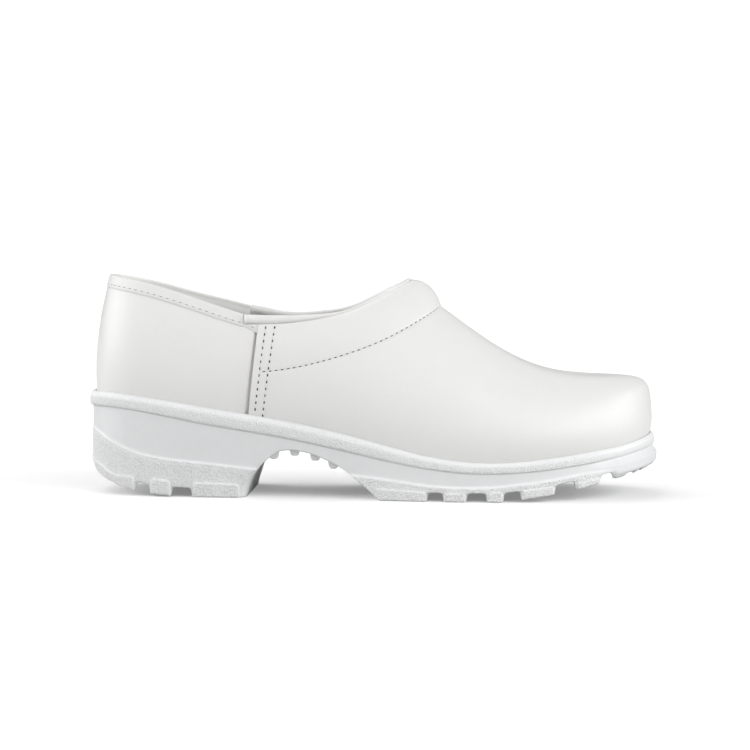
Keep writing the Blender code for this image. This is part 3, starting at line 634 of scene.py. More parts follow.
def cross_lines(spacing=1.0, clear=0.3, samples=6000):
    """Cross lines of the sole: even round its outline, and close at every edge of the tread.

    Returns them with the stations where they meet the outer and the inner wall.
    """
    sides = (-1, 1)
    keys = [m + side * (w / 2 + d) for m, _, w in TREAD_GROOVES for side in sides for d in GROOVE_LINES]
    keys += [x + side * d for x in RIB_XS for side in sides for d in RIB_LINES]
    keys += [m + side * w / 2 + d for m, w, _ in TOE_NOTCHES for side in sides for d in NOTCH_LINES]
    keys += [end + d for channel in CHANNELS for end in channel for d in CHANNEL_LINES]
    keys = np.unique(np.round(np.r_[keys, BREAST_LINES], 4))
    t = np.linspace(0, HALF, samples)
    place, inner_place = (cross_place(wall_x(side), wall_y(side)) for side in (t, ROUND - t))
    run = run_along(np.stack([wall_x(t), wall_y(t)], -1))
    even = np.interp(np.linspace(0, run[-1], int(run[-1] / spacing)), run, place)
    even = even[np.abs(even[:, None] - keys).min(axis=1) > clear]
    lines = np.unique(np.r_[even, keys, place[0], place[-1]])
    return lines, np.interp(lines, place, t), ROUND - np.interp(lines, inner_place, t)


def side_lines(t):
    """The sole's lines at these stations as columns, with the stations and how plain the toe is there."""
    names = ("rim_top", "rim_low", "strip_top", "tread_top", "step")
    line = SimpleNamespace(**{name: getattr(station, name)(t)[:, None] for name in names})
    line.side, line.ground = along_side(t)[:, None], ground(t)[:, None]
    line.tread_top = line.tread_top - HEEL_DIP * bell((line.side - HEEL_DIP_AT) / HEEL_DIP_RUN)
    line.toe = smooth((line.side - TOE_PLAIN_FROM) / TOE_PLAIN_RUN)
    return line


def side_rows(line):
    """Heights of the rows down the sole's side, and how far the wall stands proud of the outline there."""
    (share, band_proud), (over, reached) = np.transpose(BAND_ROWS), np.transpose(STRIP_ROWS)
    strip, lugs = line.strip_top + over, line.tread_top + np.array(LUG_ROWS)
    heights = [
        blend(line.rim_top, line.rim_low, share),
        blend(line.rim_low - WALL_FROM, line.strip_top + WALL_TO, WALL_ROWS),
        strip,
        blend(strip[:, -1:], lugs[:, :1], OVER_LUG_ROWS),
        lugs,
        blend(lugs[:, -1:], line.ground + 1.0, DOWN_LUG_ROWS),
    ]
    plain, flare = 1 - line.toe, TOE_FLARE * line.toe
    tuck = WALL_TUCK + WALL_TUCK_HEEL * bell(line.side)
    heel_tuck = HEEL_TUCK * bell(line.side / HEEL_TUCK_RUN)
    step = STRIP_PROUD * line.step * plain
    strip_proud = flare - heel_tuck + blend(-WALL_TUCK_LOW, step, reached * plain)
    below = len(OVER_LUG_ROWS) + len(LUG_ROWS) + len(DOWN_LUG_ROWS)
    prouds = [
        band_proud + 0 * flare,
        flare * WALL_ROWS - blend(tuck, WALL_TUCK_LOW + heel_tuck, WALL_ROWS),
        strip_proud,
        np.repeat(strip_proud[:, -1:], below, axis=1),
    ]
    return np.hstack(heights), np.hstack(prouds)


def lug_spans():
    """Start and end of each lug along the shoe, between the cuts."""
    cuts = [(m - w / 2 - GROOVE_DRAFT, m + w / 2 + GROOVE_DRAFT) for m, _, w in TREAD_GROOVES]
    cuts = sorted(cuts + [(HEEL_LUG_END, BALL_LUG_START)])
    behind_heel, past_toe = -60.0, 360.0
    return zip([behind_heel] + [end for _, end in cuts], [start for start, _ in cuts] + [past_toe])


def lug_panels(t, place, heights, line):
    """How far the lugs' panels are raised at points of the side, and painted highlights along their edges."""
    run = run_along(np.stack([wall_x(t), wall_y(t)], -1))
    raised, highlight_rims = np.zeros_like(heights), np.zeros_like(heights)
    top, foot = line.tread_top + 0.1, line.ground - PANEL_FOOT
    off_z = np.abs(heights - (top + foot) / 2) - (top - foot) / 2 + PANEL_ROUND
    for start, end in lug_spans():
        ends = np.array([start + PANEL_CLEAR, end - PANEL_CLEAR])
        u0, u1 = np.interp(ends, place, run) + ends - np.clip(ends, place[0], place[-1])
        off_u = np.abs(run[:, None] - (u0 + u1) / 2) - (u1 - u0) / 2 + PANEL_ROUND
        edge = np.hypot(np.maximum(off_u, 0), np.maximum(off_z, 0))
        edge += np.minimum(np.maximum(off_u, off_z), 0) - PANEL_ROUND
        raised = np.maximum(raised, smooth(0.5 - edge / PANEL_RAMP))
        highlight_rims = np.maximum(highlight_rims, bell((edge + 0.15) / HIGHLIGHT_RIM_HALF))
    return raised, highlight_rims


def side_marks(line, heights, turned, highlight_rims):
    """Pebbled places of the sole's side, and its painted highlights and the painted light on the breast."""
    plain = 1 - line.toe
    band = smooth((line.rim_top - 0.7 - heights) / 0.9) * smooth((heights - line.rim_low - 0.1) / 0.5)
    strip = smooth((line.strip_top + 0.2 - heights) / 0.7)
    worked = np.maximum(BAND_WORKED * band, strip) * plain * (1 - turned)
    down = (line.rim_top - heights) / (line.rim_top - line.rim_low)
    highlight_rims = np.maximum(highlight_rims, bell((heights - line.strip_top - 0.1) / HIGHLIGHT_RIM_HALF))
    # Painted highlights: along the edges of the lugs' panels and the strip's top, and over the upper part of
    # the band
    pale = np.maximum(highlight_rims * plain, smooth(down / 0.12) * smooth((0.46 - down) / 0.2))
    # Painted light lifts the shaded turn of the wall into the heel's breast
    return worked, np.maximum(pale, BREAST_PAINTED_LIGHT * turned)


def sole_side(t, place, bottom):
    """Points down the sole's side at each cross line, from the ledge in the rim to the tread's edge.

    Returns them with the pebbled places and the painted highlights among them.
    """
    line = side_lines(t)
    heights, prouds = side_rows(line)
    count, bottom = heights.shape[1], bottom[:, None]
    clipped = np.maximum(heights, bottom + EDGE_ROUND + ROW_APART * np.arange(count, 0, -1))
    clipped = np.hstack([clipped, bottom + EDGE_ROUND * EDGE_ROWS])
    proud = np.stack([np.interp(-z, -h, p) for z, h, p in zip(clipped, heights, prouds)])
    raised, highlight_rims = lug_panels(t, place, clipped, line)
    lug_top = line.tread_top + 1.0
    under = np.clip((lug_top - clipped) / (lug_top - line.ground), 0, 1)
    off_groove = np.min([np.abs(place - m) - w / 2 for m, _, w in TREAD_GROOVES], axis=0)[:, None]
    chamfer = CHAMFER * np.clip(1 - off_groove / CHAMFER_RUN, 0, 1) ** 2
    turn = breast_turn(place, clipped)
    proud += PANEL_RAISE * (1 - line.toe) * raised - turn
    proud -= HEEL_TAPER * bell(line.side / HEEL_TAPER_RUN) * under**HEEL_TAPER_POWER
    proud -= TOE_TAPER * line.toe * under**TOE_TAPER_POWER
    proud -= chamfer * smooth((line.ground + GROOVE_DEPTH + 0.3 - clipped) / 1.2)
    proud[:, count:] -= EDGE_ROUND * rounding(1.0, 1 - EDGE_ROWS)
    marks = side_marks(line, clipped, np.clip(turn / BREAST_PAINTED_LIGHT_DEPTH, 0, 1), highlight_rims)

    behind_lap = smooth((LAP_STATION - along_side(t)) / LEDGE_STEP_RUN - 1)
    ledge = station.inset(t) - GAP + COUNTER_STEP * behind_lap
    lip_top = station.rim_top(t) - LIP_DROP
    lip_heights = np.stack([seat(plan_point(t, -ledge)[0]), lip_top - LIP_ROUND, lip_top], 1)
    lip_prouds = np.stack([-ledge, -ledge, LIP_LEAN - ledge], 1)
    x, y = plan_point(t[:, None], np.hstack([lip_prouds, proud]))
    points = np.stack([x, y, np.hstack([lip_heights, clipped])], -1)
    return points, *(np.hstack([np.zeros_like(lip_heights), mark]) for mark in marks)


def tread_places(width, middle):
    """Places across the tread from its outer edge: close at both edges, the sipes and the channel."""
    edge = TREAD_EDGE * min(1, width / 45)
    half = min(CHANNEL_HALF + CHANNEL_EDGE, 0.12 * width)
    places = [edge]
    for start, end in ((edge[-1], middle - half), (middle + half, width - edge[-1])):
        sipe, step = (start + end) / 2, min(0.3, (end - start) / 20)
        places += [
            np.linspace(start, sipe - 3 * step, 6)[1:],
            sipe + step * SIPE_PLACES,
            np.linspace(sipe + 3 * step, end, 6)[:-1],
        ]
        if end < middle:
            places.append(middle + half * CHANNEL_PLACES)
    places.append(width - edge[::-1])
    return np.concatenate(places)


def build_sole(foam):
    """Both sides of the sole with its tread between, as one closed ring at each cross line."""
    lines, outer_t, inner_t = cross_lines()
    arch, grooves, ribs = arch_height(lines), groove_depth(lines), rib_drop(lines)
    sides = []
    for t in (outer_t, inner_t):
        bottom = np.maximum(ground(t), arch) + grooves * (arch < ground(t))
        sides.append((*sole_side(t, lines, bottom), bottom))
    (outer, outer_worked, outer_pale, outer_low), (inner, inner_worked, inner_pale, inner_low) = sides
    channel = CHANNEL_DEPTH * np.max([between(lines, *span, CHANNEL_RAMP) for span in CHANNELS], axis=0)
    sipes = SIPE_DEPTH * sum(between(lines, *span, SIPE_RAMP) for span in SIPES)
    tread = []
    for i, place in enumerate(lines):
        a, b = outer[i, -1], inner[i, -1]
        width = max(np.hypot(*(b - a)[:2]), 1e-6)
        middle = np.clip(-a[1], 0.35 * width, 0.65 * width)
        from_edge = tread_places(width, middle)
        share = from_edge / width
        row = blend(a, b, share[:, None])
        off = np.abs(from_edge - middle) / (CHANNEL_HALF + CHANNEL_EDGE)
        groove = grooves[i] * (arch[i] < 0)
        dam = smooth((HEEL_DAM_HALF - np.abs(row[:, 1])) / HEEL_DAM_RAMP + 0.5) * (place < ARCH_X[0])
        deep = np.maximum(groove * (1 - HEEL_DAM * dam), channel[i] * smooth((0.9 - off) / 0.1 + 0.5))
        deep[SIPE_COLUMNS] = np.maximum(deep[SIPE_COLUMNS], sipes[i])
        inset = np.minimum(share, 1 - share) * width
        bar = ribs[i] * smooth((inset - RIB_END) / RIB_END_RUN + 0.5)
        row[:, 2] = blend(outer_low[i], inner_low[i], share) + deep - groove - bar
        tread.append(row)
    tread = np.array(tread)
    worked = np.full(tread.shape[:2], UNDER_WORKED)
    shell = Shell()
    shell.sheet(
        np.hstack([outer, tread, inner[:, ::-1]]),
        wrap=True,
        worked=np.hstack([outer_worked, worked, inner_worked[:, ::-1]]),
        pale=np.hstack([outer_pale, 0 * worked, inner_pale[:, ::-1]]),
    )
    shell.piece("moulded_sole", [foam], "sole", "sole_foam")


# Upper

def upper_walls(t, rows):
    """Points and outward directions of the vamp's bare surface at each column and row."""
    arcs = column_arcs(t, rows)
    stations = lean(t[:, None], arcs)
    base, normal = last_point(stations, arcs), last_normal(stations, arcs)
    normal[:, 0] = np.stack([*plan_normal(t), 0 * t], -1)
    return base, normal


def with_skirt(wall):
    """The wall with one more row, straight down to the ledge in the rim."""
    skirt = wall[:, :1].copy()
    skirt[..., 2] = seat(skirt[..., 0]) + GAP
    return np.hstack([skirt, wall])


def spread(start, end, density, *crowds):
    """Places from start to end, density of them to a station, and more at each crowd (place, more, width)."""
    fine = np.linspace(start, end, 6000)
    close = density + sum((more * bell((fine - at) / width) for at, more, width in crowds), 0 * fine)
    run = np.r_[0, np.cumsum((close[1:] + close[:-1]) / 2 * np.diff(fine))]
    return np.interp(np.linspace(0, run[-1], int(run[-1]) + 1), run, fine)


def vamp_stations():
    """Columns of one side of the vamp, closer at the lap and where the pad's seam crosses the ridge.

    Returns them with the number of columns that lie over the counter.
    """
    crowds = (LAP_STATION, 28, 0.22), (PAD_CREST_STATION, 26, 0.5)
    edge = LAP_STATION + np.array(LAP_COLUMNS)
    side = spread(edge[-1] + 0.012, THROAT_RUN[0] - 0.02, 21, *crowds)
    instep = spread(THROAT + 0.008, HALF, 21, *crowds)
    return np.r_[edge, side, THROAT_RUN, instep], len(edge) - 2


def vamp_side(t, under):
    """Walls of one side of the vamp, their outward directions, and distances from the seams."""
    base, normal = upper_walls(t, VAMP_ROWS)
    lap_z = base[0, :, 2]
    lap = np.hypot(*(base[..., k] - np.interp(base[..., 2], lap_z, base[0, :, k]) for k in (0, 1)))
    over = over_pad_seam(base)
    risen = (lap_z - lap_z[0]) / (lap_z[-1] - lap_z[0])
    rows = [blend(low, high, risen) for low, high in LAP_ROWS]
    steps = np.linalg.norm(np.diff(base, axis=1), axis=2)
    below = np.hstack([np.cumsum(steps[:, ::-1], axis=1)[:, ::-1], np.zeros((len(t), 1))])
    cut = (along_side(t) < THROAT)[:, None]
    past_row = smooth((lap - rows[0]) / (2 * ROW_CLEAR) + 0.5)
    proud = padding(base) * smooth(lap / LAP_PAD_RUN) - SEAM_DEPTH * bell(over / SEAM_WIDTH) * past_row
    for row in rows:
        proud -= ROW_FURROW * bell((lap - row) / ROW_FURROW_WIDTH)
    proud -= rounding(LAP_EDGE_ROUND, LAP_EDGE_ROUND - lap)
    proud -= rounding(COLLAR_ROUND, COLLAR_ROUND_SHARE * (COLLAR_ROUND - below) * cut)
    # A painted highlight within a few millimetres of the vamp's top edge behind the throat, fading in along x
    forward = smooth((base[..., 0] - COLLAR_HIGHLIGHT_X) / COLLAR_HIGHLIGHT_RUN)
    depth = np.where(np.arange(len(t)) < under, COUNTER_STEP - 0.05, WALL)[:, None, None]
    return {
        "outer": base + proud[..., None] * normal,
        "inner": base - depth * normal,
        "normal": normal, "lap": lap, "over": over, "rows": rows,
        "pale": smooth(1.5 - below / COLLAR_HIGHLIGHT) * cut * forward,
    }


def build_vamp(leather, lining, raw_edge):
    """Both sides of the vamp, joined along the ridge in front of the throat. Returns them for the seams."""
    stations, under = vamp_stations()
    sides = [vamp_side(stations, under), vamp_side(ROUND - stations, under)]
    joined = stations >= THROAT
    for wall in ("outer", "inner"):
        middle = (sides[0][wall][joined, -1] + sides[1][wall][joined, -1]) / 2
        for side in sides:
            side[wall][joined, -1] = middle
    shell = Shell()
    for side in sides:
        outer, inner = with_skirt(side["outer"]), with_skirt(side["inner"])
        count = outer.shape[1]
        skip = np.zeros((len(stations) - 1, 2 * count), bool)
        skip[joined[:-1], count - 1] = True
        shell.wall(outer, inner, pale=np.pad(side["pale"], ((0, 0), (1, count))), skip=skip)
        shell.sheet(np.stack([outer[0], inner[0]]), 2)
    shell.piece("vamp", [leather, lining, raw_edge], "upper", "upper_leather", sharp=50)
    return sides


def build_counter(leather, lining):
    """The heel counter, running on a little way under the vamp's lap on both sides."""
    end = LAP_STATION + LAP_UNDER / LAP_STATION_LENGTH - LAP_END
    side = spread(0, end, 22, (LAP_STATION - 0.03, 70, 0.07))
    side = side[np.abs(side - ROLL_STATION) > 0.03]
    side = np.sort(np.r_[side, ROLL_STATION - LAP_END, ROLL_STATION + LAP_END])
    t = np.r_[ROUND - side[:0:-1], side] % ROUND
    base, normal = upper_walls(t, COUNTER_ROWS)
    from_lap = np.maximum(LAP_STATION - along_side(t), 0)[:, None] * LAP_STATION_LENGTH
    trough_width = blend(*LAP_TROUGH_WIDTHS, np.linspace(0, 1, COUNTER_ROWS))
    trough = LAP_TROUGH * np.exp(-((from_lap / trough_width) ** 4))
    outer = with_skirt(base - (COUNTER_STEP + trough)[..., None] * normal)
    inner = with_skirt(base - WALL * normal)
    shell = Shell()
    shell.wall(outer, inner)
    for column in (0, -1):
        shell.sheet(np.stack([outer[column], inner[column]]), 1)
    shell.piece("heel_counter", [leather, lining], "upper", "upper_leather", sharp=50)


def collar_top(t):
    """Outer and inner top edge of the wall, as if the vamp's wall ran on to the roll's end."""
    base, normal = upper_walls(t, ROLL_ROWS)
    top, out = base[:, -1], normal[:, -1]
    return top + padding(top)[:, None] * out, top - WALL * out


def build_collar_roll(leather):
    """A padded roll on the vamp's top edge, as wide as the padded wall under it, with a folded end."""
    side = spread(ROLL_STATION + ROLL_START, THROAT_RUN[0], 34, (THROAT, 60, 0.25))
    side = np.r_[side, THROAT_RUN[1:]]
    outer, inner = (
        np.concatenate([near[:-1], (near[-1:] + far[-1:]) / 2, far[-2::-1]])
        for near, far in zip(collar_top(side), collar_top(ROUND - side))
    )
    middle = (outer + inner) / 2
    x = middle[:, 0]
    across = unit(outer - inner)
    up = unit(np.cross(across, np.gradient(middle, axis=0)))
    up *= np.sign(up[:, 2:])
    half_width = np.linalg.norm(outer - inner, axis=1) / 2 + np.interp(x, *zip(*ROLL_OVERHANG))
    half_height = roll_half_height(x)
    centre = middle + up * (np.interp(x, *zip(*ROLL_GAP)) + half_height)[:, None]
    run = run_along(centre)
    places, full = np.transpose(ROLL_END)
    even = np.linspace(ROLL_END_RUN, run[-1] - ROLL_END_RUN, ROLL_RINGS)
    fine = np.r_[places, even, run[-1] - places[::-1]]
    scale = np.r_[full, np.ones(ROLL_RINGS), full[::-1]]
    turns = np.linspace(0, 2 * math.pi, ROLL_TURNS, endpoint=False)[:, None]
    rings = at_run(fine, run, centre)[:, None]
    for turn, half, direction in ((np.cos(turns), half_width, across), (np.sin(turns), half_height, up)):
        reach = (np.interp(fine, run, half) * scale)[:, None, None]
        rings = rings + turn * reach * unit(at_run(fine, run, direction))[:, None]
    shell = Shell()
    shell.tube(rings)
    made = shell.piece("collar_roll_cover", [leather], "collar_roll", "collar_leather")


def binding_frame(t):
    """Top of the counter's wall at these columns: its outer and inner edge, upward and outward directions."""
    base, normal = upper_walls(t % ROUND, BINDING_ROWS)
    outer, inner = base - COUNTER_STEP * normal, base - WALL * normal
    return outer[:, -1], inner[:, -1], unit(outer[:, -1] - outer[:, -3]), unit(outer[:, -1] - inner[:, -1])


def build_heel_binding(tape):
    """A tape folded over the counter's edge, with tails that run on under the roll to the lap.

    Returns the line of its stitches and the outward directions there.
    """
    ends = [ROLL_STATION - gap for gap in BINDING_ENDS]
    side, inner_side = (spread(0, end, 22) for end in ends)
    outer, inner, up, out = binding_frame(np.r_[ROUND - inner_side[:0:-1], side])
    near, far, soft = BINDING_GAP, BINDING_GAP + BINDING_THICKNESS, BINDING_SOFT
    turns = np.linspace(0, math.pi, BINDING_TURNS)
    wide = np.sign(np.cos(turns)) * np.abs(np.cos(turns)) ** BINDING_SQUARE
    high = BINDING_CROWN * np.sin(turns) ** BINDING_SQUARE
    half = (np.linalg.norm(outer - inner, axis=1) / 2)[:, None, None]
    fold = -(half + far) * wide[:, None] * out[:, None] + high[:, None] * up[:, None]

    def leg(edge, reach, *depths):
        return edge[:, None] + reach * out[:, None] - np.array(depths)[:, None] * up[:, None]

    rings = [
        leg(outer, near, BINDING_DEPTH - 0.1, 2.0, -near),
        leg(inner, -near, -near, 2.0, BINDING_DEPTH - 0.1),
        leg(inner, soft - far, BINDING_DEPTH),
        *(leg(inner, -far - pad, depth) for depth, pad in BINDING_PAD),
        fold + ((outer + inner) / 2)[:, None],
        leg(outer, far, *BINDING_OUTER, BINDING_DEPTH - soft),
        leg(outer, far - soft, BINDING_DEPTH),
    ]
    shell = Shell()
    shell.tube(np.hstack(rings))
    tails = []
    for end, on_outer_side in zip(ends, (True, False)):
        t = np.linspace(end + TAIL_CLEAR, LAP_STATION - TAIL_CLEAR, TAIL_COLUMNS)
        top, _, lift, away = binding_frame(t if on_outer_side else ROUND - t)
        low_z = np.interp(top[:, 0], *zip(*TAIL_LOW))
        low = top + lift * ((low_z - top[:, 2]) / lift[:, 2])[:, None]
        section = (
            low + near * away, top + near * away, top + far * away, low + soft * lift + far * away,
            low + (far - soft) * away,
        )
        shell.tube(np.stack(section, 1))
        tails.append((low + TAIL_SEAM * lift + far * away, away))
    shell.piece("heel_binding_tape", [tape], "heel_binding", "binding_tape", sharp=60)
    stitch_line = outer + far * out - (BINDING_DEPTH - BINDING_SEAM) * up
    (outer_tail, outer_away), (inner_tail, inner_away) = tails
    path = np.concatenate([inner_tail[::-1], stitch_line[2:-2], outer_tail])
    return path, np.concatenate([inner_away[::-1], out[2:-2], outer_away])


def build_insole(cloth):
    """A cupped footbed with a soft edge."""
    t = spread(0, HALF, 20, (0, 40, 0.3), (HALF, 40, 0.3))
    edges = []
    for side in (t, ROUND - t):
        x, y = plan_point(side, -station.inset(side) - WALL - GAP)
        edges.append(np.stack([x, y, seat(x) + GAP], -1))
    share = np.r_[INSOLE_EDGE, np.linspace(0.13, 0.87, 14), 1 - np.array(INSOLE_EDGE)[::-1]]
    width = (edges[1] - edges[0])[:, 1:2]
    cup = INSOLE_CUP * np.minimum(1, 2 * width / BALL_WIDTH) * np.sin(math.pi * share) ** INSOLE_CUP_POWER
    soft = INSOLE_SOFT * (1 - np.clip(np.minimum(share, 1 - share) / INSOLE_SOFT_SHARE, 0, 1)) ** 2
    low = blend(edges[0][:, None], edges[1][:, None], share[None, :, None])
    top = low.copy()
    top[..., 2] += INSOLE_THICKNESS - cup - soft * np.minimum(1, width / INSOLE_SOFT_WIDTH)
    shell = Shell()
    shell.sheet(np.hstack([top, low[:, ::-1]]), wrap=True)
    shell.piece("footbed", [cloth], "insole", "insole_cloth", sharp=50)


# Seams

class Seam:
    """Threads and needle holes of every sewn row, drawn as two joined pieces."""

    THREAD_TURNS = np.linspace(0, 2 * math.pi, 8, endpoint=False)[:, None]
    HOLE_TURNS = np.linspace(0, 2 * math.pi, 12, endpoint=False)[:, None]
    SPAN = np.linspace(0, 1, 9)

    def __init__(self):
        self.thread, self.holes = Shell(), Shell()

    def sew(self, path, normals, stitch, start=SEAM_END, end=SEAM_END):
        """A row of stitches along a path, from start along it to end before its end."""
        pitch, (hole_length, hole_width), rise, radius = stitch
        run = run_along(path)
        places = np.arange(start, run[-1] - end, pitch)
        from_middle = 2 * self.SPAN - 1
        bow = rise * (1 - from_middle**4) - THREAD_SINK
        taper = np.sqrt(np.clip(1 - from_middle**8, 0, 1))
        taper[[0, -1]] = THREAD_TIP

        def at(where):
            return at_run(where, run, path), unit(at_run(where, run, normals))

        for a, b in zip(places[:-1], places[1:]):
            point, out = at(blend(a + 0.7 * hole_length, b - 0.7 * hole_length, self.SPAN))
            side = unit(np.cross(out, np.gradient(point, axis=0)))
            centre = point + bow[:, None] * out
            around = np.cos(self.THREAD_TURNS) * side[:, None] + np.sin(self.THREAD_TURNS) * out[:, None]
            self.thread.tube(centre[:, None] + (radius * taper)[:, None, None] * around)
        # Each needle hole is a small dark lens: painted shade inside the hole
        for place in places:
            point, out = at(place + np.array([-0.1, 0.0, 0.1]))
            ahead = unit(point[2] - point[0])
            across = np.cross(out[1], ahead)
            rim = hole_length * np.cos(self.HOLE_TURNS) * ahead
            rim = rim + hole_width * np.sin(self.HOLE_TURNS) * across
            lens = [point[1] + grown * rim + depth * out[1] for grown, depth in zip((0, 1, 0), HOLE_DEPTHS)]
            self.holes.sheet(np.stack(lens), wrap=True)


def lap_row(side, distances):
    """A line on the vamp at these distances from the lap's edge, from the rim up."""
    path, out = (
        np.array([
            [np.interp(distance, side["lap"][:, row], side[which][:, row, k]) for k in range(3)]
            for row, distance in enumerate(distances)
        ])
        for which in ("outer", "normal")
    )
    return path, unit(out)


def pad_row(sides):
    """The pad's seam, from the outer side's first lap row over the ridge to the inner side's."""
    halves = []
    for side in sides:
        over, half = side["over"], []
        for column in range(len(over)):
            above = np.nonzero(over[column] > 0)[0]
            k = above[0] if len(above) else 0
            if k == 0 or side["lap"][column, k] < side["rows"][0][k] + PAD_ROW_CLEAR:
                continue
            share = over[column, k - 1] / (over[column, k - 1] - over[column, k])
            half.append([blend(*side[which][column, k - 1:k + 1], share) for which in ("outer", "normal")])
        halves.append(half)
    path, out = np.transpose(halves[0] + halves[1][::-1], (1, 0, 2))
    keep = np.r_[True, np.diff(run_along(path)) > 0.05]
    return path[keep], unit(out[keep])


def build_seams(sides, binding_path, binding_out, thread, hole):
    """Two rows along each lap, the pad's row over the instep and the binding's row."""
    seam = Seam()
    for side in sides:
        for row, start in zip(side["rows"], LAP_ROW_STARTS):
            seam.sew(*lap_row(side, row), LAP_STITCH, start, LAP_ROW_END)
    seam.sew(*pad_row(sides), PAD_STITCH)
    seam.sew(binding_path, binding_out, BINDING_STITCH)
    seam.thread.piece("seam_threads", [thread], None, "upper_leather")
    seam.holes.piece("needle_holes", [hole], None, "upper_leather")


# Finishes

class Nodes:
    """Short hand for placing and joining nodes of one tree."""

    def __init__(self, tree):
        self.tree = tree

    def add(self, kind, inputs=(), **settings):
        node = self.tree.nodes.new("ShaderNode" + kind)
        for name, value in settings.items():
            setattr(node, name, value)
        for socket, value in dict(inputs).items():
            if isinstance(value, bpy.types.NodeSocket):
                self.feed(value, node, socket)
            else:
                node.inputs[socket].default_value = value
        return node

    def feed(self, value, node, socket):
        self.tree.links.new(value, node.inputs[socket])

    def place(self):
        return self.add("TexCoord").outputs["Object"]

    def mark(self, name):
        """A value that the piece's points carry."""
        return self.add("Attribute", attribute_name=name).outputs["Fac"]

    def noise(self, place, scale, detail, **more):
        inputs = {"Vector": place, "Scale": scale, "Detail": detail, **more}
        return self.add("TexNoise", inputs).outputs["Fac"]

    def math(self, operation, a, b=0.0, clamp=False):
        return self.add("Math", {0: a, 1: b}, operation=operation, use_clamp=clamp).outputs[0]

    def total(self, *terms):
        """Sum of values, each times its weight."""
        parts = [self.math("MULTIPLY", value, weight) for value, weight in terms]
        total = parts[0]
        for part in parts[1:]:
            total = self.math("ADD", total, part)
        return total

    def ramp(self, value, low, high, to_low=0.0, to_high=1.0):
        inputs = {0: value, 1: low, 2: high, 3: to_low, 4: to_high}
        return self.add("MapRange", inputs, interpolation_type="SMOOTHSTEP").outputs[0]

    def inputs(self):
        return self.tree.nodes.new("NodeGroupInput").outputs

    def outputs(self, **values):
        node = self.tree.nodes.new("NodeGroupOutput")
        for name, value in values.items():
            self.feed(value, node, name)

    def group(self, group, **values):
        node = self.add("Group", node_tree=group)
        for name, value in values.items():
            node.inputs[name].default_value = value
        return node.outputs


def shader_group(name, inputs, outputs):
    """An empty group of shader nodes with named number inputs and outputs."""
    group = bpy.data.node_groups.new(name, "ShaderNodeTree")
    for socket, value in inputs.items():
        made = group.interface.new_socket(name=socket, in_out="INPUT", socket_type="NodeSocketFloat")
        made.default_value = value
    for socket in outputs:
        group.interface.new_socket(name=socket, in_out="OUTPUT", socket_type="NodeSocketFloat")
    return group, Nodes(group)


def grain_group():
    """Pores and creases of finished leather: cells with soft valleys, and fine specks between them."""
    group, n = shader_group("leather_grain", {"Cells": 1500.0, "Specks": 5000.0}, ["Height", "Tone"])
    given, place = n.inputs(), n.place()
    wander = n.add("TexNoise", {"Vector": place, "Scale": 420.0, "Detail": 2.0}).outputs["Color"]
    bent = n.add("VectorMath", {0: wander, 1: (0.0009,) * 3}, operation="MULTIPLY").outputs[0]
    moved = n.add("VectorMath", {0: place, 1: bent}, operation="ADD").outputs[0]
    cells = n.add("TexVoronoi", {"Vector": moved, "Scale": given["Cells"]}, feature="DISTANCE_TO_EDGE")
    valley = n.ramp(cells.outputs["Distance"], 0.0, 0.22)
    specks = n.noise(place, given["Specks"], 3.0)
    n.outputs(Height=n.total((valley, 0.7), (specks, 0.3)), Tone=valley)
    return group


def drift_group():
    """Slow change of tone over a surface, with a broad and a middling patch size."""
    group, n = shader_group("tone_drift", {"Broad": 18.0, "Fine": 140.0}, ["Tone"])
    given, place = n.inputs(), n.place()
    broad, fine = n.noise(place, given["Broad"], 2.0), n.noise(place, given["Fine"], 4.0)
    n.outputs(Tone=n.total((broad, 0.65), (fine, 0.35)))
    return group


def weave_group():
    """Crossed threads of a lining cloth, over and under each other."""
    group, n = shader_group("cloth_weave", {"Threads": 900.0}, ["Height", "Tone"])
    given, place = n.inputs(), n.place()
    x, y, z = n.add("SeparateXYZ", {0: place}).outputs
    waves = []
    for value in (x, n.math("ADD", y, z)):
        turn = n.math("MULTIPLY", n.math("MULTIPLY", value, given["Threads"]), 2 * math.pi)
        waves.append(n.math("SINE", turn))
    crossed = n.math("MULTIPLY", *waves)
    fuzz = n.noise(place, 3200.0, 2.0)
    n.outputs(Height=n.total((n.ramp(crossed, -1.0, 1.0), 1.0), (fuzz, 0.5)), Tone=n.ramp(crossed, -0.8, 0.6))
    return group


def finish(name, roughness, specular=0.5):
    """An empty finish with its Principled shader, and its nodes."""
    made = bpy.data.materials.new(name)
    made.use_nodes = True
    shader = made.node_tree.nodes["Principled BSDF"]
    shader.inputs["Roughness"].default_value = roughness
    shader.inputs["Specular IOR Level"].default_value = specular
    return made, shader, Nodes(made.node_tree)


def tint(n, shader, share, dark, light):
    """The base colour, from dark to light as share runs from 0 to 1."""
    mixed = n.add("Mix", {0: share, 6: (*dark, 1), 7: (*light, 1)}, data_type="RGBA")
    n.feed(mixed.outputs[2], shader, "Base Color")


def emboss(n, shader, height, strength, distance):
    """Fine relief of a surface, with its depth in metres."""
    bump = n.add("Bump", {"Strength": strength, "Distance": distance, "Height": height})
    n.feed(bump.outputs[0], shader, "Normal")


def leather_finish(name, groups, dark, light, cells, specks, depth, roughness):
    """White finished leather with fine grain, a slight drift of tone and of gloss, and a painted highlight
    where its points carry one.
    """
    made, shader, n = finish(name, roughness[0])
    shader.inputs["Coat Weight"].default_value = 0.25
    shader.inputs["Coat Roughness"].default_value = 0.3
    grain = n.group(groups["grain"], Cells=cells, Specks=specks)
    drift = n.group(groups["drift"], Broad=16.0, Fine=120.0)
    share = n.total((drift["Tone"], 0.7), (grain["Tone"], 0.3), (n.mark("pale"), 1.2))
    tint(n, shader, share, dark, light)
    n.feed(n.ramp(drift["Tone"], 0.2, 0.8, *roughness), shader, "Roughness")
    emboss(n, shader, grain["Height"], depth, 0.00012)
    return made


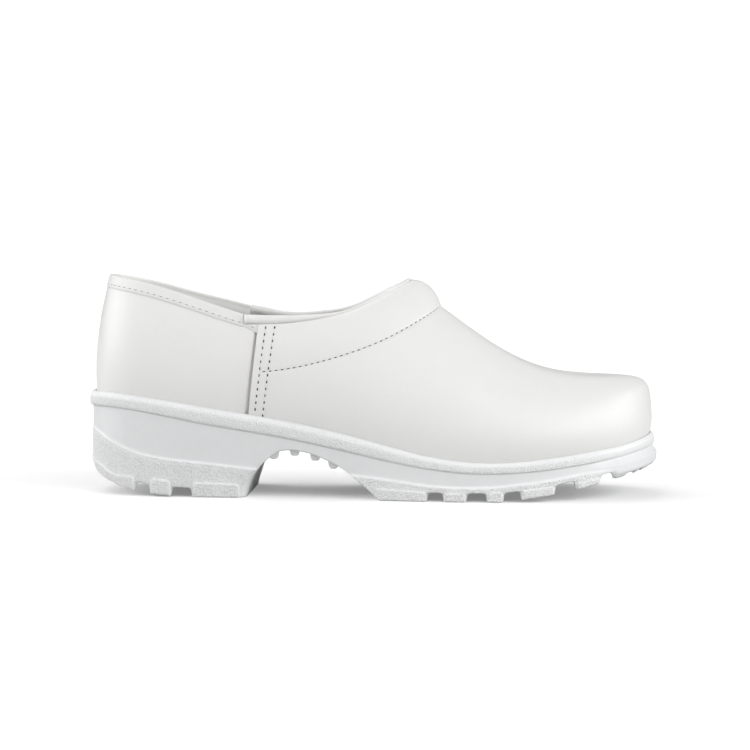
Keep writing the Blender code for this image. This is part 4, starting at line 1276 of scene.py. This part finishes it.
def foam_finish(groups):
    """Moulded white foam: pebbled on the band, the strip and the lugs, and satin on the wall between, with
    painted shade in the pebbles' hollows and painted light.
    """
    made, shader, n = finish("sole_foam_finish", 0.55)
    place, worked, pale = n.place(), n.mark("worked"), n.mark("pale")
    clumps = n.noise(place, 1100.0, 2.0, Roughness=0.55)
    grains = n.add("TexVoronoi", {"Vector": place, "Scale": 1500.0, "Smoothness": 0.6}, feature="SMOOTH_F1")
    pebbles = n.total((clumps, 1.0), (grains.outputs["Distance"], -0.45))
    skin = n.noise(place, 2600.0, 2.0)
    drift = n.group(groups["drift"], Broad=14.0, Fine=260.0)
    # Painted shade: the colour darkens in the hollows between the pebbles
    painted_hollow_shade = n.math("MULTIPLY", n.ramp(pebbles, 0.1, 0.45, 1.0, 0.0), worked)
    # Painted light: the sole's colour lightens along the shoe from the waist towards the toe
    along = n.add("SeparateXYZ", {"Vector": place}).outputs["X"]
    painted_toe_light = n.ramp(along, -0.05, 0.08, 0.0, 0.32)
    patches = n.ramp(drift["Tone"], 0.25, 0.75, 0.0, 0.3)
    share = n.total((patches, 1.0), (painted_hollow_shade, -0.5), (pale, 0.6), (worked, 0.55), (painted_toe_light, 1.0))
    share = n.math("ADD", share, 0.0, clamp=True)
    tint(n, shader, share, (0.7, 0.706, 0.712), (0.86, 0.864, 0.869))
    n.feed(n.ramp(worked, 0.0, 1.0, 0.42, 0.68), shader, "Roughness")
    emboss(n, shader, n.total((pebbles, worked), (skin, 0.05)), 1.0, 0.0009)
    return made


def cloth_finish(name, groups, dark, light, threads):
    """Woven cloth with a slight drift of tone."""
    made, shader, n = finish(name, 0.9, 0.2)
    weave = n.group(groups["weave"], Threads=threads)
    drift = n.group(groups["drift"], Broad=20.0, Fine=300.0)
    tint(n, shader, n.total((weave["Tone"], 0.55), (drift["Tone"], 0.45)), dark, light)
    emboss(n, shader, weave["Height"], 0.5, 0.0002)
    return made


def raw_edge_finish():
    """The cut edge of the leather: pale, matt and fibrous."""
    made, shader, n = finish("cut_leather_edge", 0.85, 0.2)
    fibres = n.noise(n.place(), 2400.0, 4.0)
    tint(n, shader, n.ramp(fibres, 0.3, 0.7), (0.7, 0.69, 0.66), (0.84, 0.83, 0.81))
    emboss(n, shader, fibres, 0.6, 0.0002)
    return made


def thread_finish():
    """White sewing thread with its twist."""
    made, shader, n = finish("sewing_thread", 0.7, 0.3)
    wave = {"Vector": n.place(), "Scale": 900.0, "Distortion": 2.0}
    twist = n.add("TexWave", wave, bands_direction="DIAGONAL").outputs["Fac"]
    tint(n, shader, twist, (0.72, 0.72, 0.7), (0.87, 0.87, 0.85))
    emboss(n, shader, twist, 0.4, 0.0001)
    return made


def hole_finish():
    """The shade inside a needle hole."""
    made, shader, n = finish("needle_hole_shade", 0.9, 0.0)
    fray = n.noise(n.place(), 2500.0, 2.0)
    tint(n, shader, n.ramp(fray, 0.3, 0.7), (0.06, 0.06, 0.06), (0.15, 0.15, 0.146))
    return made


# Studio

def set_camera():
    """The photograph's camera, with the lens that gives its scale at the aim."""
    eye, aim = (Vector((np.array(p) - CENTRE) * MM) for p in (CAMERA_AT, CAMERA_AIM))
    data = bpy.data.cameras.new("photo_camera")
    data.sensor_width = SENSOR
    data.lens = SENSOR * (eye - aim).length / (FRAME_PIXELS * AIM_MM_PER_PIXEL * MM)
    camera = put("photo_camera", data)
    turn = (aim - eye).to_track_quat("-Z", "Y").to_matrix().to_4x4()
    camera.matrix_world = Matrix.Translation(eye) @ turn @ Matrix.Rotation(CAMERA_ROLL, 4, "Z")
    bpy.context.scene.camera = camera


def soft_light(name, azimuth, elevation, spread_angle, strength):
    """A broad even light. Azimuth 0 is the camera's side, and 90 the toe's."""
    data = bpy.data.lights.new(name, "SUN")
    data.angle = math.radians(spread_angle)
    data.energy = strength
    turn, rise = math.radians(azimuth), math.radians(elevation)
    towards = Vector((math.sin(turn) * math.cos(rise), -math.cos(turn) * math.cos(rise), math.sin(rise)))
    put(name, data).rotation_euler = (-towards).to_track_quat("-Z", "Y").to_euler()


def set_backdrop():
    """A backdrop that is white to the camera and gives no light of its own."""
    world = bpy.data.worlds.new("white_studio")
    world.use_nodes = True
    backdrop = world.node_tree.nodes["Background"]
    backdrop.inputs["Color"].default_value = (1, 1, 1, 1)
    n = Nodes(world.node_tree)
    seen = n.add("LightPath").outputs["Is Camera Ray"]
    n.feed(n.math("MULTIPLY", seen, BACKGROUND_WHITE), backdrop, "Strength")
    bpy.context.scene.world = world


def set_floor():
    """A sheet of paper under the shoe, lighter to the camera than to the shoe."""
    data = bpy.data.meshes.new("studio_floor")
    corners = [(x * FLOOR_HALF, y * FLOOR_HALF, 0) for x, y in ((-1, -1), (1, -1), (1, 1), (-1, 1))]
    data.from_pydata(corners, [], [(0, 1, 2, 3)])
    paper, shader, n = finish("white_paper", 0.9, 0.0)
    shader.inputs["Emission Color"].default_value = (1, 1, 1, 1)
    seen = n.add("LightPath").outputs["Is Camera Ray"]
    n.feed(n.math("MULTIPLY", seen, FLOOR_LIFT), shader, "Emission Strength")
    tint(n, shader, seen, (FLOOR_BOUNCE,) * 3, (FLOOR_SHADE,) * 3)
    data.materials.append(paper)
    floor = put("studio_floor", data)


def set_studio():
    set_camera()
    set_backdrop()
    for light in LIGHTS:
        soft_light(*light)
    set_floor()
    bpy.context.scene.view_settings.view_transform = "Standard"


def main():
    set_studio()
    groups = {"grain": grain_group(), "drift": drift_group(), "weave": weave_group()}
    leather, soft_leather, tape = (leather_finish(name, groups, *look) for name, look in LEATHERS.items())
    lining, footbed = (cloth_finish(name, groups, *look) for name, look in CLOTHS.items())
    build_sole(foam_finish(groups))
    sides = build_vamp(leather, lining, raw_edge_finish())
    build_counter(leather, lining)
    build_collar_roll(soft_leather)
    path, out = build_heel_binding(tape)
    build_insole(footbed)
    build_seams(sides, path, out, thread_finish(), hole_finish())


main()
